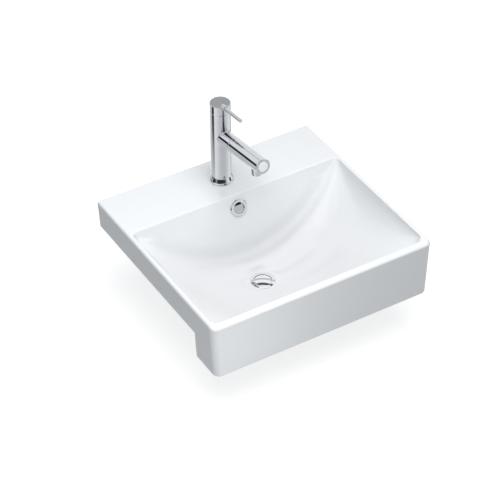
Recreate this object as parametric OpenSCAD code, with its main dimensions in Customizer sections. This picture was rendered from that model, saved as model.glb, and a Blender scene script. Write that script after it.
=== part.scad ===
// Semi-recessed washbasin with a single-lever pull-out tap, a push waste and an overflow.
// The origin lies on the counter's top, on the centre line, in the middle of the rear seating ledge.
// X runs to the right, Y to the back and Z up. All sizes are in millimetres.

/* [Basin outside] */
// Width of the basin
basin_w = 560; // [520:1:640]
// Depth of the basin, front to back
basin_d = 515; // [500:1:560]
// Height of the rim above the counter
rim_h = 72; // [66:1:90]
// Height of the apron below the counter's top
apron_drop = 68; // [50:1:75]
// How far the apron stands in front of the counter's edge
overhang = 85; // [75:1:95]
// How far each side leans in from the rim down to the apron's foot
side_draft = 7; // [0:0.5:9]
// Radius of the front upright corners
front_corner_r = 16; // [8:1:18]
// Radius of the rear upright corners
rear_corner_r = 6; // [5:0.5:8]
// Radius of the rim's outer edge
rim_edge_r = 4; // [2:0.5:5]
// Thickness of the ceramic walls
wall_t = 10; // [8:0.5:11]
// Thickness of the tap deck
deck_t = 12; // [10:0.5:16]
// Width of the seating ledge at the back and under the deck's ends
ledge_w = 30; // [24:1:36]

/* [Bowl] */
// Width of the rim at the sides
side_rim = 11; // [10:0.5:14]
// Width of the rim at the front
front_rim = 17; // [15:0.5:22]
// Depth of the tap deck, from the back to the bowl's edge
deck_d = 144; // [138:1:165]
// Depth from the rim to the bowl's lowest point
bowl_depth = 173; // [150:1:185]
// Distance from the back of the basin to the waste's centre
waste_from_back = 258; // [252:1:275]
// How far the bowl's back wall leans, as run per rise
back_lean = 0.329; // [0.25:0.005:0.36]
// Radius of the rim's inner edge
lip_r = 3; // [2:0.5:4]
// Radius of the bowl's front corners, seen from above
bowl_front_r = 22; // [16:1:30]
// Radius of the bowl's rear corners, seen from above
bowl_rear_r = 14; // [8:1:18]

/* [Overflow] */
// Drop of the overflow's centre below the rim
overflow_drop = 31.6; // [28:0.2:36]
// Outer diameter of the overflow bezel
overflow_d = 42; // [38:0.5:46]
// Diameter of the overflow hole in the ceramic
overflow_hole_d = 30; // [28:0.5:32]
// Bore of the overflow duct
duct_d = 18; // [14:0.5:19]
// Ceramic around the overflow duct
duct_wall = 7; // [6:0.5:9]

/* [Waste] */
// Outer diameter of the waste's flange
flange_d = 56; // [53:0.5:60]
// Diameter of the plug
plug_d = 42; // [38:0.5:43]
// Outer diameter of the waste's thread
waste_thread_d = 41.9; // [41:0.1:42.2]
// Bore of the waste's tube
waste_bore_d = 35; // [32:0.5:36]
// Diameter of the hole in the ceramic outlet
outlet_hole_d = 45; // [44:0.5:47]
// Length of the ceramic outlet below the bowl's lowest point
outlet_l = 48; // [44:1:56]
// Length of the waste's tube
waste_l = 92; // [88:1:110]
// Travel of the plug between shut and open
plug_travel = 9; // [6:0.5:10]

/* [Tap column] */
// Distance from the back of the basin to the tap's centre
tap_from_back = 78; // [74:1:84]
// Diameter of the tap hole in the deck
tap_hole_d = 35; // [34:0.5:36]
// Diameter of the tap's column and cap
column_d = 47; // [45.5:0.5:50]
// Height of the cap's lower edge above the deck
seam_h = 193; // [186:1:215]
// Height of the cap
cap_h = 21.5; // [20:0.5:28]
// Radius of the cap's top edge
cap_edge_r = 3; // [1.5:0.5:4]
// Diameter of the bead at the column's foot
base_ring_d = 54.5; // [52.5:0.5:62]
// Height of the bead at the column's foot
base_ring_h = 17; // [12:0.5:22]
// Thickness of the gasket under the tap
base_gasket_t = 1; // [0.6:0.1:2]
// Diameter of the threaded shank
shank_d = 32; // [30:0.5:33]
// Bore of the threaded shank
shank_bore_d = 26; // [24:0.5:27]
// Length of the shank below the deck's upper face
shank_l = 62; // [50:1:68]

/* [Lever] */
// Diameter of the lever rod
lever_d = 9; // [6:0.5:10]
// Distance from the column's centre to the lever's tip
lever_reach = 90; // [60:1:120]
// Slope of the lever rod above level, in degrees
lever_rise = 6.3; // [0:0.1:8]
// Depth of the lever's pivot below the cap's lower edge
pivot_drop = 12; // [10:0.5:14]

/* [Spout] */
// Height of the spout's axis above the deck, at the column's centre
spout_h = 126; // [118:1:134]
// Slope of the spout above level, in degrees
spout_rise = 8.4; // [5:0.1:12]
// Diameter of the spout
spout_d = 36; // [34:0.5:38]
// Distance along the spout from the column's centre to its end
spout_reach = 185; // [170:1:220]
// Distance along the spout from the column's centre to the pull-out joint
joint_at = 62; // [54:0.5:70]
// Distance of the outlet behind the spout's end
outlet_back = 31; // [26:0.5:36]
// Diameter of the outlet boss
outlet_d = 24; // [22:0.5:26]
// How far the outlet boss stands out below the spout
outlet_drop = 14; // [12:0.5:18]
// Diameter of the end button
button_d = 23.5; // [20:0.5:25]
// Travel of the end button
button_travel = 2; // [1:0.5:3]

/* [Hidden] */

// Smoothness of curves, and the smallest overshoot of a cut
$fn = 96;
fn_hull = 32;
cut = 1;

// Clearances
run_fit = 0.05;
slip = 0.1;
seat_gap = 0.3;

// Colours
ceramic_c = "white";
chrome_c = "silver";
brass_c = "goldenrod";
rubber_c = "dimgray";
plastic_c = "whitesmoke";
dark_c = "darkslategray";

// Places of the basin's faces
back_y = ledge_w / 2;
front_y = back_y - basin_d;
counter_y = front_y + overhang;
waste_y = back_y - waste_from_back;
tap_y = back_y - tap_from_back;

// Bowl wall, measured where the rounded lip ends
lip_z = rim_h - lip_r;
bowl_half = basin_w / 2 - side_rim;
bowl_front = front_y + front_rim;
bowl_back = back_y - deck_d;
bowl_floor = rim_h - bowl_depth;
trough_d = lip_z - bowl_floor;
front_run = waste_y - bowl_front;
// The trough runs out a little behind the back wall's top
trough_back_run = (bowl_back - waste_y) * 1.06;
side_power = 0.6;
front_power = 0.5;
blend_d = 40;

// Flange seat at the bowl's lowest point
recess_clear = 0.5;
seat_r = flange_d / 2 + 1.5;
flange_proud = 1;
flange_t = 6;
top_gasket_t = 1.5;
flange_top = bowl_floor + flange_proud;
flange_under = flange_top - flange_t;
recess_z = flange_under - top_gasket_t;
outlet_bottom = bowl_floor - outlet_l;
outlet_boss_r = outlet_hole_d / 2 + wall_t;

// Smooth maximum of two heights, blended over the distance k
function smax(a, b, k) =
    let (h = max(k - abs(a - b), 0) / k)
    max(a, b) + h * h * k / 4;

// Share of the full depth across the bowl
function across(x, g) = pow(max(0, 1 - pow(x / (bowl_half + g), 2)), side_power);

// Share of the full depth along the bowl
function along(y, g) =
    let (run = y < waste_y ? front_run + g : trough_back_run + g)
    pow(max(0, 1 - pow((y - waste_y) / run, 2)), front_power);

// Height of the bowl's surface, grown outwards by g
function bowl_z(x, y, g) =
    let (trough = lip_z - (trough_d + g) * across(x, g) * along(y, g))
    let (back = lip_z - (bowl_back + g - y) / back_lean)
    let (top = max(trough, back))
    let (k = min(blend_d, max(0.01, 1.2 * (lip_z - top))))
    min(lip_z, smax(trough, back, k));

// Rounded outline of the bowl, counter-clockwise from above, grown outwards by g
function arc(cx, cy, r, a0, n) =
    [for (i = [0:n]) let (a = a0 + 90 * i / n) [cx + r * cos(a), cy + r * sin(a)]];
function side(p, q, n) = [for (i = [1:n - 1]) p + (q - p) * i / n];
function outline(g) =
    let (hx = bowl_half + g)
    let (fy = bowl_front - g)
    let (by = bowl_back + g)
    let (fr = bowl_front_r + g)
    let (br = bowl_rear_r + g)
    concat(
        arc(hx - fr, fy + fr, fr, -90, corner_n),
        side([hx, fy + fr], [hx, by - br], side_n),
        arc(hx - br, by - br, br, 0, corner_n),
        side([hx - br, by], [br - hx, by], back_n),
        arc(br - hx, by - br, br, 90, corner_n),
        side([-hx, by - br], [-hx, fy + fr], side_n),
        arc(fr - hx, fy + fr, fr, 180, corner_n),
        side([fr - hx, fy], [hx - fr, fy], back_n)
    );
corner_n = 4;
side_n = 9;
back_n = 13;

// Ring of the bowl's surface between the seat, at share 0, and the outline, at share 1
function bowl_ring(share, g) =
    let (rim = outline(g))
    let (centre = [0, waste_y])
    [for (p = rim)
        let (d = p - centre)
        let (start = centre + d / norm(d) * (seat_r + g))
        let (q = start + (p - start) * share)
        [q[0], q[1], share == 0 ? bowl_floor - g : bowl_z(q[0], q[1], g)]];

// Flat ring of the outline at one height
function flat_ring(g, z) = [for (p = outline(g)) [p[0], p[1], z]];

// Closed solid through rings that are listed from the top down
module ring_solid(rings) {
    n = len(rings[0]);
    m = len(rings);
    points = [for (ring = rings) for (p = ring) p];
    walls = [for (i = [0:m - 2]) for (j = [0:n - 1])
        let (k = (j + 1) % n)
        let (a = i * n)
        let (b = a + n)
        each [[a + j, a + k, b + k], [a + j, b + k, b + j]]];
    polyhedron(
        points = points,
        faces = concat(
            [[for (j = [n - 1:-1:0]) j]],
            walls,
            [[for (j = [0:n - 1]) (m - 1) * n + j]]
        ),
        convexity = 6
    );
}

// Bowl's hollow, with the rounded lip at its top
cavity_rings = 14;
module bowl_cavity() {
    lip = [for (a = [30, 60]) flat_ring(lip_r * (1 - sin(a)), rim_h - lip_r * (1 - cos(a)))];
    top = [flat_ring(lip_r * 1.35, rim_h + lip_r * 0.1)];
    bowl = [for (i = [cavity_rings:-1:0]) bowl_ring(sin(90 * i / cavity_rings), 0)];
    ring_solid(concat(top, lip, bowl));
}

// Bowl with its wall, before it is hollowed
shell_rings = 9;
module bowl_shell() {
    bowl = [for (i = [shell_rings:-1:0]) bowl_ring(sin(90 * i / shell_rings), wall_t)];
    ring_solid(concat([flat_ring(wall_t, lip_z + 1)], bowl));
}

// Upright corner with a rounded top edge, whose foot stands nearer the middle
module corner_post(r, s, y) {
    e = min(rim_edge_r, r - 0.5);
    x = basin_w / 2 - r;
    translate([s * x, y, rim_h - 2 * e])
        rotate_extrude($fn = fn_hull) {
            square([r - e, 2 * e]);
            square([r, e]);
            translate([r - e, e])
                intersection() {
                    circle(r = e, $fn = fn_hull);
                    square(e);
                }
        }
    translate([s * (x - side_draft), y, -apron_drop]) cylinder(r = r, h = 1, $fn = fn_hull);
}

// Width from the middle to a side at the counter's top
seat_half = basin_w / 2 - side_draft * rim_h / (rim_h + apron_drop);

// Block round the whole basin, cut away behind the counter's edge and below its top
module outer_block() {
    difference() {
        hull()
            for (s = [-1, 1]) {
                corner_post(front_corner_r, s, front_y + front_corner_r);
                corner_post(rear_corner_r, s, back_y - rear_corner_r);
            }
        translate([-basin_w, counter_y, -2 * apron_drop])
            cube([2 * basin_w, basin_d, 2 * apron_drop]);
    }
}

// Overflow: the frame's origin is on the bowl's back wall and its Z points into the bowl
overflow_z = rim_h - overflow_drop;
overflow_y = bowl_back - (lip_z - overflow_z) * back_lean;
lean_a = atan(back_lean);
module at_overflow() {
    translate([0, overflow_y, overflow_z]) rotate([90 - lean_a, 0, 0]) children();
}

// Overflow duct: from behind the overflow down along the back wall, then forward to the outlet
duct_r = duct_d / 2;
duct_back = wall_t + duct_r + 1;
duct_out_r = duct_r + duct_wall;
duct_low_z = bowl_floor - wall_t - duct_r - 4;
duct_top = [0, overflow_y + duct_back * cos(lean_a), overflow_z - duct_back * sin(lean_a)];
duct_low_y = duct_top[1] - (duct_top[2] - duct_low_z) * back_lean;
duct_run = (duct_top[2] - duct_low_z) / cos(lean_a);

module duct(r, sides) {
    translate(duct_top) rotate([180 - lean_a, 0, 0]) cylinder(r = r, h = duct_run, $fn = sides);
    translate([0, duct_low_y, duct_low_z]) sphere(r = r + 0.5, $fn = sides);
    translate([0, duct_low_y, duct_low_z])
        rotate([90, 0, 0])
            cylinder(r = r, h = duct_low_y - waste_y - outlet_hole_d / 2 + wall_t / 2, $fn = sides);
}

// Web that fills the gap between the duct and the bowl's wall
module duct_web() {
    translate(duct_top)
        rotate([180 - lean_a, 0, 0])
            translate([-duct_out_r, 0, 0]) cube([2 * duct_out_r, duct_back - wall_t / 2, duct_run]);
}

deck_hollow_front = duct_top[1] + duct_out_r + 1;
module deck_hollow() {
    hx = seat_half - ledge_w;
    translate([-hx, deck_hollow_front, -cut])
        cube([2 * hx, back_y - ledge_w - deck_hollow_front, rim_h - deck_t + cut]);
}

apron_hollow_top = rim_h * 0.4;
module apron_hollow() {
    hx = basin_w / 2 - side_draft - wall_t;
    translate([-hx, front_y + wall_t, -apron_drop - cut])
        cube([2 * hx, overhang - wall_t + cut, apron_drop + apron_hollow_top + cut]);
}

// Ceramic as it leaves the mould, held to its outside sizes
module moulding() {
    resize([basin_w, basin_d, rim_h - outlet_bottom])
        difference() {
            union() {
                difference() {
                    outer_block();
                    deck_hollow();
                    apron_hollow();
                }
                bowl_shell();
                duct(duct_out_r, fn_hull);
                duct_web();
                translate([0, waste_y, outlet_bottom])
                    cylinder(r = outlet_boss_r, h = outlet_l - wall_t / 2, $fn = 2 * fn_hull);
            }
            bowl_cavity();
        }
}

module basin_body() {
    color(ceramic_c)
        difference() {
            moulding();
            duct(duct_r, $fn);
            translate([0, waste_y, outlet_bottom - cut])
                cylinder(d = outlet_hole_d, h = outlet_l + 2 * cut);
            translate([0, waste_y, recess_z])
                cylinder(r = flange_d / 2 + recess_clear, h = bowl_floor - recess_z + cut);
            translate([0, tap_y, rim_h - deck_t - cut])
                cylinder(d = tap_hole_d, h = deck_t + 2 * cut);
            at_overflow()
                translate([0, 0, -duct_back])
                    cylinder(d = overflow_hole_d, h = duct_back + wall_t);
        }
}

// Overflow trim
bezel_t = 2.5;
seal_t = 1;
sleeve_t = 1.2;
sleeve_l = 9;
plate_t = 1.5;
plate_tilt = 14;
plate_z = seal_t + bezel_t - 5.5;
plate_edge = 6;
weep_r = 1.1;
sleeve_r = overflow_hole_d / 2 - slip;
plate_r = sleeve_r - sleeve_t - slip;

module ring(r_out, r_in, h) {
    difference() {
        cylinder(r = r_out, h = h);
        translate([0, 0, -cut]) cylinder(r = r_in, h = h + 2 * cut);
    }
}

module overflow_seal() {
    color(rubber_c)
        at_overflow()
            ring(overflow_d / 2 - 1, overflow_hole_d / 2 + slip, seal_t);
}

module overflow_ring() {
    color(chrome_c)
        at_overflow()
            translate([0, 0, seal_t]) {
                rotate_extrude()
                    difference() {
                        union() {
                            translate([overflow_d / 2 - bezel_t, 0]) circle(r = bezel_t);
                            translate([sleeve_r - sleeve_t, 0])
                                square([overflow_d / 2 - bezel_t - sleeve_r + sleeve_t, bezel_t]);
                            translate([sleeve_r - sleeve_t, -sleeve_l])
                                square([sleeve_t, sleeve_l + bezel_t]);
                        }
                        translate([sleeve_r, -2 * bezel_t]) square([overflow_d, 2 * bezel_t]);
                    }
            }
}

// The disc slopes inwards to a straight top edge, and water enters above that edge
module overflow_plate() {
    color(chrome_c)
        at_overflow()
            difference() {
                intersection() {
                    cylinder(r = plate_r, h = 4 * sleeve_l, center = true);
                    translate([0, 0, plate_z])
                        rotate([-plate_tilt, 0, 0])
                            translate([-overflow_d, -overflow_d, 0])
                                cube([2 * overflow_d, overflow_d + plate_edge, plate_t]);
                }
                translate([0, 3 - plate_r, -2 * sleeve_l])
                    cylinder(r = weep_r, h = 4 * sleeve_l);
            }
}

// Waste
waste_r = waste_thread_d / 2;
waste_bore_r = waste_bore_d / 2;
waste_bottom = flange_top - waste_l;
plug_t = 3;
plug_seal_t = 1.5;
plug_top = flange_top + 0.5;
dish_r = plug_d / 2 + 1;
dish_z = plug_top - plug_t - plug_seal_t - seat_gap;
hub_r = 8;
hub_bore_r = 5.5;
hub_z = waste_bottom + 44;
hub_h = 8;
arm_w = 4;
slot_w = 14;
slot_h = duct_d - 2;
slot_z = duct_low_z;
spigot_l = 22;
relief_w = 1;
relief_d = 0.8;

module waste_frame(z) {
    translate([0, waste_y, z]) children();
}

module waste_body() {
    color(chrome_c)
        difference() {
            union() {
                waste_frame(waste_bottom) cylinder(r = waste_r, h = waste_l - 1);
                waste_frame(flange_under)
                    rotate_extrude() {
                        square([flange_d / 2 - 1.5, flange_t]);
                        square([flange_d / 2, flange_t - 1.5]);
                        translate([flange_d / 2 - 1.5, flange_t - 1.5])
                            circle(r = 1.5, $fn = fn_hull);
                    }
            }
            waste_frame(dish_z) cylinder(r = dish_r, h = flange_top - dish_z + cut);
            waste_frame(waste_bottom + spigot_l) ring(waste_r + cut, waste_r - relief_d, relief_w);
            difference() {
                waste_frame(waste_bottom - cut) cylinder(r = waste_bore_r, h = waste_l + cut);
                waste_frame(hub_z) {
                    cylinder(r = hub_r, h = hub_h);
                    for (a = [0:120:240])
                        rotate([0, 0, a]) translate([0, -arm_w / 2, 0]) cube([waste_r, arm_w, hub_h]);
                }
            }
            waste_frame(hub_z - cut) cylinder(r = hub_bore_r, h = hub_h + 2 * cut);
            for (a = [0:90:270])
                waste_frame(slot_z)
                    rotate([0, 0, a])
                        translate([waste_bore_r - 2, -slot_w / 2, -slot_h / 2])
                            cube([wall_t, slot_w, slot_h]);
        }
}

bottom_gasket_t = 6;
washer_t = 2;
nut_h = 11;
nut_flats = 56;
module waste_top_gasket() {
    color(rubber_c) waste_frame(recess_z) ring(flange_d / 2 - 1, outlet_hole_d / 2, top_gasket_t);
}

module waste_bottom_gasket() {
    color(rubber_c)
        waste_frame(outlet_bottom - bottom_gasket_t) ring(outlet_boss_r, waste_r + slip, bottom_gasket_t);
}

module waste_washer() {
    color(plastic_c)
        waste_frame(outlet_bottom - bottom_gasket_t - washer_t) ring(outlet_boss_r, waste_r + slip, washer_t);
}

module hex_nut(flats, bore_r, h) {
    difference() {
        cylinder(d = flats / cos(30), h = h, $fn = 6);
        translate([0, 0, -cut]) cylinder(r = bore_r, h = h + 2 * cut);
    }
}

module waste_nut() {
    color(brass_c)
        waste_frame(outlet_bottom - bottom_gasket_t - washer_t - nut_h)
            hex_nut(nut_flats, waste_r + slip, nut_h);
}

// Plug, shut: its seal lies in the dish
plug_boss_r = 6;
plug_boss_l = 5;
stem_r = 3;
collar_r = 4.2;
collar_t = 2;
cartridge_r = 7.4;
chamber_r = 4.6;
stem_foot = hub_z + 4;
cartridge_top = hub_z + hub_h + 12;
cartridge_foot = hub_z - 20;
module plug_cap() {
    color(chrome_c)
        waste_frame(plug_top - plug_t) {
            rotate_extrude() {
                square([plug_d / 2 - 1, plug_t]);
                square([plug_d / 2, plug_t - 1]);
                translate([plug_d / 2 - 1, plug_t - 1]) circle(r = 1, $fn = fn_hull);
            }
            translate([0, 0, -plug_boss_l]) cylinder(r = plug_boss_r, h = plug_boss_l + 0.5);
        }
}

module plug_seal() {
    color(rubber_c)
        waste_frame(plug_top - plug_t - plug_seal_t) ring(plug_d / 2 - 0.8, plug_boss_r + slip, plug_seal_t);
}

module plug_stem() {
    color(brass_c) {
        waste_frame(stem_foot)
            cylinder(r = stem_r, h = plug_top - plug_t - plug_boss_l - stem_foot);
        waste_frame(stem_foot - collar_t) cylinder(r = collar_r, h = collar_t);
    }
}

module click_cartridge() {
    color(plastic_c)
        difference() {
            union() {
                waste_frame(hub_z + hub_h) cylinder(r = cartridge_r, h = cartridge_top - hub_z - hub_h);
                waste_frame(hub_z - cut) cylinder(r = hub_bore_r - slip, h = hub_h + 2 * cut);
                waste_frame(cartridge_foot) cylinder(r = hub_bore_r - slip, h = hub_z - cartridge_foot);
            }
            waste_frame(stem_foot) cylinder(r = stem_r + run_fit, h = plug_travel + 40);
            waste_frame(cartridge_foot + 2)
                cylinder(r = chamber_r, h = stem_foot + plug_travel + seat_gap - cartridge_foot - 2);
        }
}

// Coil spring as one unbroken tube between two heights
spring_sides = 6;
rings_per_turn = 8;
function coil_point(r, pitch, a) = [r * cos(a), r * sin(a), pitch * a / 360];
function coil_ring(r, pitch, wire_r, a) =
    let (c = coil_point(r, pitch, a))
    let (out = [cos(a), sin(a), 0])
    let (rise = atan(pitch / (2 * PI * r)))
    let (up = [sin(rise) * sin(a), -sin(rise) * cos(a), cos(rise)])
    [for (i = [0:spring_sides - 1])
        let (t = 360 * i / spring_sides)
        c + wire_r * (cos(t) * out + sin(t) * up)];

module coil(r, wire_r, turns, z0, z1) {
    pitch = (z1 - z0 - 2 * wire_r) / turns;
    n = turns * rings_per_turn;
    rings = [for (i = [0:n]) coil_ring(r, pitch, wire_r, 360 * i / rings_per_turn)];
    points = [for (ring = rings) for (p = ring) p];
    echo(least_gap = pitch - 2 * wire_r);
    walls = [for (i = [0:n - 1]) for (j = [0:spring_sides - 1])
        let (k = (j + 1) % spring_sides)
        let (a = i * spring_sides)
        let (b = a + spring_sides)
        each [[a + j, b + j, b + k], [a + j, b + k, a + k]]];
    translate([0, 0, z0 + wire_r])
        polyhedron(
            points = points,
            faces = concat(
                [[for (j = [0:spring_sides - 1]) j]],
                walls,
                [[for (j = [spring_sides - 1:-1:0]) n * spring_sides + j]]
            ),
            convexity = 10
        );
}

click_wire_r = 0.4;
module click_spring() {
    color(brass_c)
        waste_frame(0)
            coil(
                chamber_r - click_wire_r - seat_gap, click_wire_r, 8,
                cartridge_foot + 2 + slip, stem_foot - collar_t - slip
            );
}

// Tap column
deck_z = rim_h;
column_r = column_d / 2;
foot_z = deck_z + base_gasket_t;
seam_z = deck_z + seam_h;
cap_top = seam_z + cap_h;
seam_gap = 0.6;
column_top = seam_z - seam_gap;
shank_r = shank_d / 2;
shank_bottom = deck_z - shank_l;
shank_in = 24;
inlet_z = foot_z + 60;
inlet_l = 12;
inlet_r = 4.5;
inlet_x = 7.5;
spout_z = deck_z + spout_h;
column_chamfer = 0.4;
cartridge_bore_r = 18;
nut_bore_r = 20;
cartridge_l = 34;
cartridge_z = column_top - cartridge_l;
cartridge_nut_t = 8;

// Ports under the cartridge: the outlet at the front and the two inlets behind it
port_ring = 8;
port_r = 3;
port_angles = [-90, 30, 150];
module at_ports(list) {
    for (i = list)
        rotate([0, 0, port_angles[i]]) translate([port_ring, 0, 0]) children();
}

module tap_frame(z) {
    translate([0, tap_y, z]) children();
}

// Spout frame: Z runs along the spout from the column's centre, and Y points up from it
module spout_frame(z) {
    translate([0, tap_y, spout_z]) rotate([90 - spout_rise, 0, 0]) translate([0, 0, z]) children();
}

module tap_base_gasket() {
    color(rubber_c) tap_frame(deck_z) ring(base_ring_d / 2 - 1.5, shank_r + 1, base_gasket_t);
}

bead_r = 3;
module tap_base_ring() {
    color(chrome_c)
        tap_frame(foot_z)
            difference() {
                rotate_extrude() {
                    square([base_ring_d / 2 - bead_r, base_ring_h]);
                    translate([0, 2]) square([base_ring_d / 2, base_ring_h - bead_r - 2]);
                    square([base_ring_d / 2 - 0.8, 2.5]);
                    translate([base_ring_d / 2 - bead_r, base_ring_h - bead_r])
                        circle(r = bead_r, $fn = fn_hull);
                }
                translate([0, 0, -cut]) cylinder(r = column_r + run_fit, h = base_ring_h + 2 * cut);
            }
}

spout_r = spout_d / 2;
dock_bore_r = 15;
dock_floor = 32;
module tap_body() {
    color(chrome_c)
        difference() {
            union() {
                tap_frame(foot_z) cylinder(r = column_r, h = column_top - column_chamfer - foot_z);
                tap_frame(column_top - column_chamfer)
                    cylinder(r1 = column_r, r2 = column_r - column_chamfer, h = column_chamfer);
                spout_frame(0) cylinder(r = spout_r, h = joint_at);
            }
            tap_frame(foot_z - cut) cylinder(r = shank_r + slip, h = shank_in + cut);
            tap_frame(foot_z + shank_in - cut)
                cylinder(r = shank_r - 2, h = inlet_z - foot_z - shank_in + cut);
            for (s = [-1, 1])
                tap_frame(inlet_z - cut)
                    translate([s * inlet_x, 0, 0]) cylinder(r = inlet_r, h = inlet_l + cut);
            tap_frame(inlet_z + inlet_l - cut)
                at_ports([1, 2]) cylinder(r = port_r - 0.5, h = cartridge_z - inlet_z - inlet_l + 2 * cut);
            tap_frame(spout_z)
                at_ports([0]) cylinder(r = port_r - 0.5, h = cartridge_z - spout_z + cut);
            tap_frame(cartridge_z) cylinder(r = cartridge_bore_r, h = cartridge_l + cut);
            tap_frame(housing_top) cylinder(r = nut_bore_r, h = cartridge_nut_t + cut);
            spout_frame(dock_floor) cylinder(r = dock_bore_r, h = joint_at);
            spout_frame(0) cylinder(r = port_r, h = dock_floor + cut);
        }
}

module tap_shank() {
    color(brass_c)
        tap_frame(shank_bottom) ring(shank_r, shank_bore_d / 2, foot_z + shank_in - slip - shank_bottom);
}

deck_under = rim_h - deck_t;
shank_gasket_t = 3;
shank_washer_t = 2;
shank_nut_h = 9;
shank_nut_flats = 44;
shank_clamp_r = 27;
module shank_gasket() {
    color(rubber_c)
        tap_frame(deck_under - shank_gasket_t) ring(shank_clamp_r, shank_r + slip, shank_gasket_t);
}

module shank_washer() {
    color(chrome_c)
        tap_frame(deck_under - shank_gasket_t - shank_washer_t)
            ring(shank_clamp_r, shank_r + slip, shank_washer_t);
}

module shank_nut() {
    color(brass_c)
        tap_frame(deck_under - shank_gasket_t - shank_washer_t - shank_nut_h)
            hex_nut(shank_nut_flats, shank_r + slip, shank_nut_h);
}

// Cartridge
pivot_z = seam_z - pivot_drop;
seals_t = 1.8;
body_wall = 1.5;
body_floor = 2;
disc_t = 3;
disc_z = cartridge_z + seals_t + body_floor;
disc_r = cartridge_bore_r - slip - body_wall - slip;
rotor_r = disc_r;
moving_t = 5;
moving_z = disc_z + disc_t;
rotor_z = moving_z + moving_t + run_fit + slip;
rotor_neck_r = 11;
housing_top = column_top - cartridge_nut_t;
rotor_top = pivot_z + 4;
pin_r = 1.5;
stem_half = 4;

// The ball at the stem's foot slides the moving disc as the lever lifts
ball_r = 2;
ball_clear = 0.25;
pocket_z = 2;
ball_z = moving_z + pocket_z + ball_clear + ball_r;
ball_arm = pivot_z - ball_z;
lift_max = 22;
disc_travel = ball_arm * lift_max * PI / 180;
moving_r = disc_r - disc_travel - seat_gap;

module cartridge_seals() {
    color(rubber_c) tap_frame(cartridge_z) at_ports([0, 1, 2]) ring(port_r + 1.2, port_r, seals_t);
}

module cartridge_body() {
    color(plastic_c)
        tap_frame(cartridge_z + seals_t)
            difference() {
                cylinder(r = cartridge_bore_r - slip, h = housing_top - cartridge_z - seals_t - slip);
                translate([0, 0, body_floor]) cylinder(r = disc_r + slip, h = cartridge_l);
                translate([0, 0, -cut])
                    at_ports([0, 1, 2]) cylinder(r = port_r, h = body_floor + 2 * cut);
            }
}

module fixed_disc() {
    color("ghostwhite")
        tap_frame(disc_z)
            difference() {
                cylinder(r = disc_r, h = disc_t);
                translate([0, 0, -cut])
                    at_ports([0, 1, 2]) cylinder(r = port_r, h = disc_t + 2 * cut);
            }
}

// The recess below joins the inlets to the outlet once the disc has slid forward
module moving_disc() {
    color("ghostwhite")
        tap_frame(moving_z + run_fit)
            difference() {
                cylinder(r = moving_r, h = moving_t);
                translate([0, 0, pocket_z]) cylinder(r = ball_r + ball_clear, h = moving_t);
                translate([0, port_r, -cut]) cylinder(r = 5.5, h = cut + 1);
            }
}

module cartridge_rotor() {
    color(plastic_c)
        tap_frame(0)
            difference() {
                union() {
                    translate([0, 0, rotor_z]) cylinder(r = rotor_r, h = housing_top - slip - rotor_z);
                    translate([0, 0, rotor_z]) cylinder(r = rotor_neck_r, h = rotor_top - rotor_z);
                }
                translate([0, 0, pivot_z])
                    rotate([0, 90, 0]) cylinder(r = pin_r + run_fit, h = 4 * rotor_r, center = true);
                translate([-stem_half - run_fit, -2 * stem_half, rotor_z - cut])
                    cube([2 * stem_half + 2 * run_fit, 4 * stem_half, rotor_top - rotor_z + 2 * cut]);
            }
}

module pivot_pin() {
    color(chrome_c)
        tap_frame(pivot_z)
            rotate([0, 90, 0]) cylinder(r = pin_r, h = 2 * rotor_neck_r - 1, center = true);
}

stem_top = cap_top - 2.5;
module lever_stem() {
    color(chrome_c)
        tap_frame(0)
            difference() {
                union() {
                    translate([-stem_half, -stem_half, pivot_z - stem_half])
                        cube([2 * stem_half, 2 * stem_half, stem_top - pivot_z + stem_half]);
                    translate([0, 0, ball_z]) cylinder(r = ball_r - 0.6, h = pivot_z - ball_z);
                    translate([0, 0, ball_z]) sphere(r = ball_r);
                }
                translate([0, 0, pivot_z])
                    rotate([0, 90, 0]) cylinder(r = pin_r + run_fit, h = 4 * stem_half, center = true);
            }
}

module cartridge_nut() {
    color(brass_c)
        tap_frame(housing_top)
            ring(nut_bore_r - slip, rotor_neck_r + seat_gap, cartridge_nut_t - slip);
}

// Handle: everything in the cap lies outside the ball about the pivot that the column's top fits in
cap_clear = 0.2;
sweep_r = norm([column_r, column_top - column_chamfer - pivot_z]) + cap_clear;
lever_z = cap_top - 6.2;
lever_root = 12;
boss_r = lever_d / 2 + 1.5;
grub_r = 1.5;
grub_l = 8;
grub_z = stem_top - grub_r - 1;
module lever_frame() {
    tap_frame(lever_z) rotate([90 - lever_rise, 0, 0]) translate([0, 0, lever_root]) children();
}

module handle_cap() {
    color(chrome_c)
        difference() {
            union() {
                tap_frame(seam_z)
                    rotate_extrude() {
                        square([column_r - cap_edge_r, cap_h]);
                        square([column_r, cap_h - cap_edge_r]);
                        translate([column_r - cap_edge_r, cap_h - cap_edge_r])
                            intersection() {
                                circle(r = cap_edge_r);
                                square(cap_edge_r);
                            }
                    }
                lever_frame() cylinder(r = boss_r, h = column_r + 1.5 - lever_root);
            }
            tap_frame(pivot_z) sphere(r = sweep_r);
            tap_frame(seam_z)
                translate([-stem_half - slip, -stem_half - slip, 0])
                    cube([2 * stem_half + 2 * slip, 2 * stem_half + 2 * slip, stem_top - seam_z + slip]);
            lever_frame() cylinder(d = lever_d, h = lever_reach);
            tap_frame(grub_z) rotate([-90, 0, 0]) cylinder(r = grub_r + run_fit, h = 2 * column_r);
        }
}

module lever_rod() {
    color(chrome_c)
        lever_frame() {
            cylinder(d = lever_d - 2 * slip, h = lever_reach - lever_root - 1.5);
            cylinder(d = lever_d - 3, h = lever_reach - lever_root);
        }
}

module grub_screw() {
    color(dark_c)
        tap_frame(grub_z)
            rotate([-90, 0, 0]) translate([0, 0, stem_half + slip]) cylinder(r = grub_r, h = grub_l);
}

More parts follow.
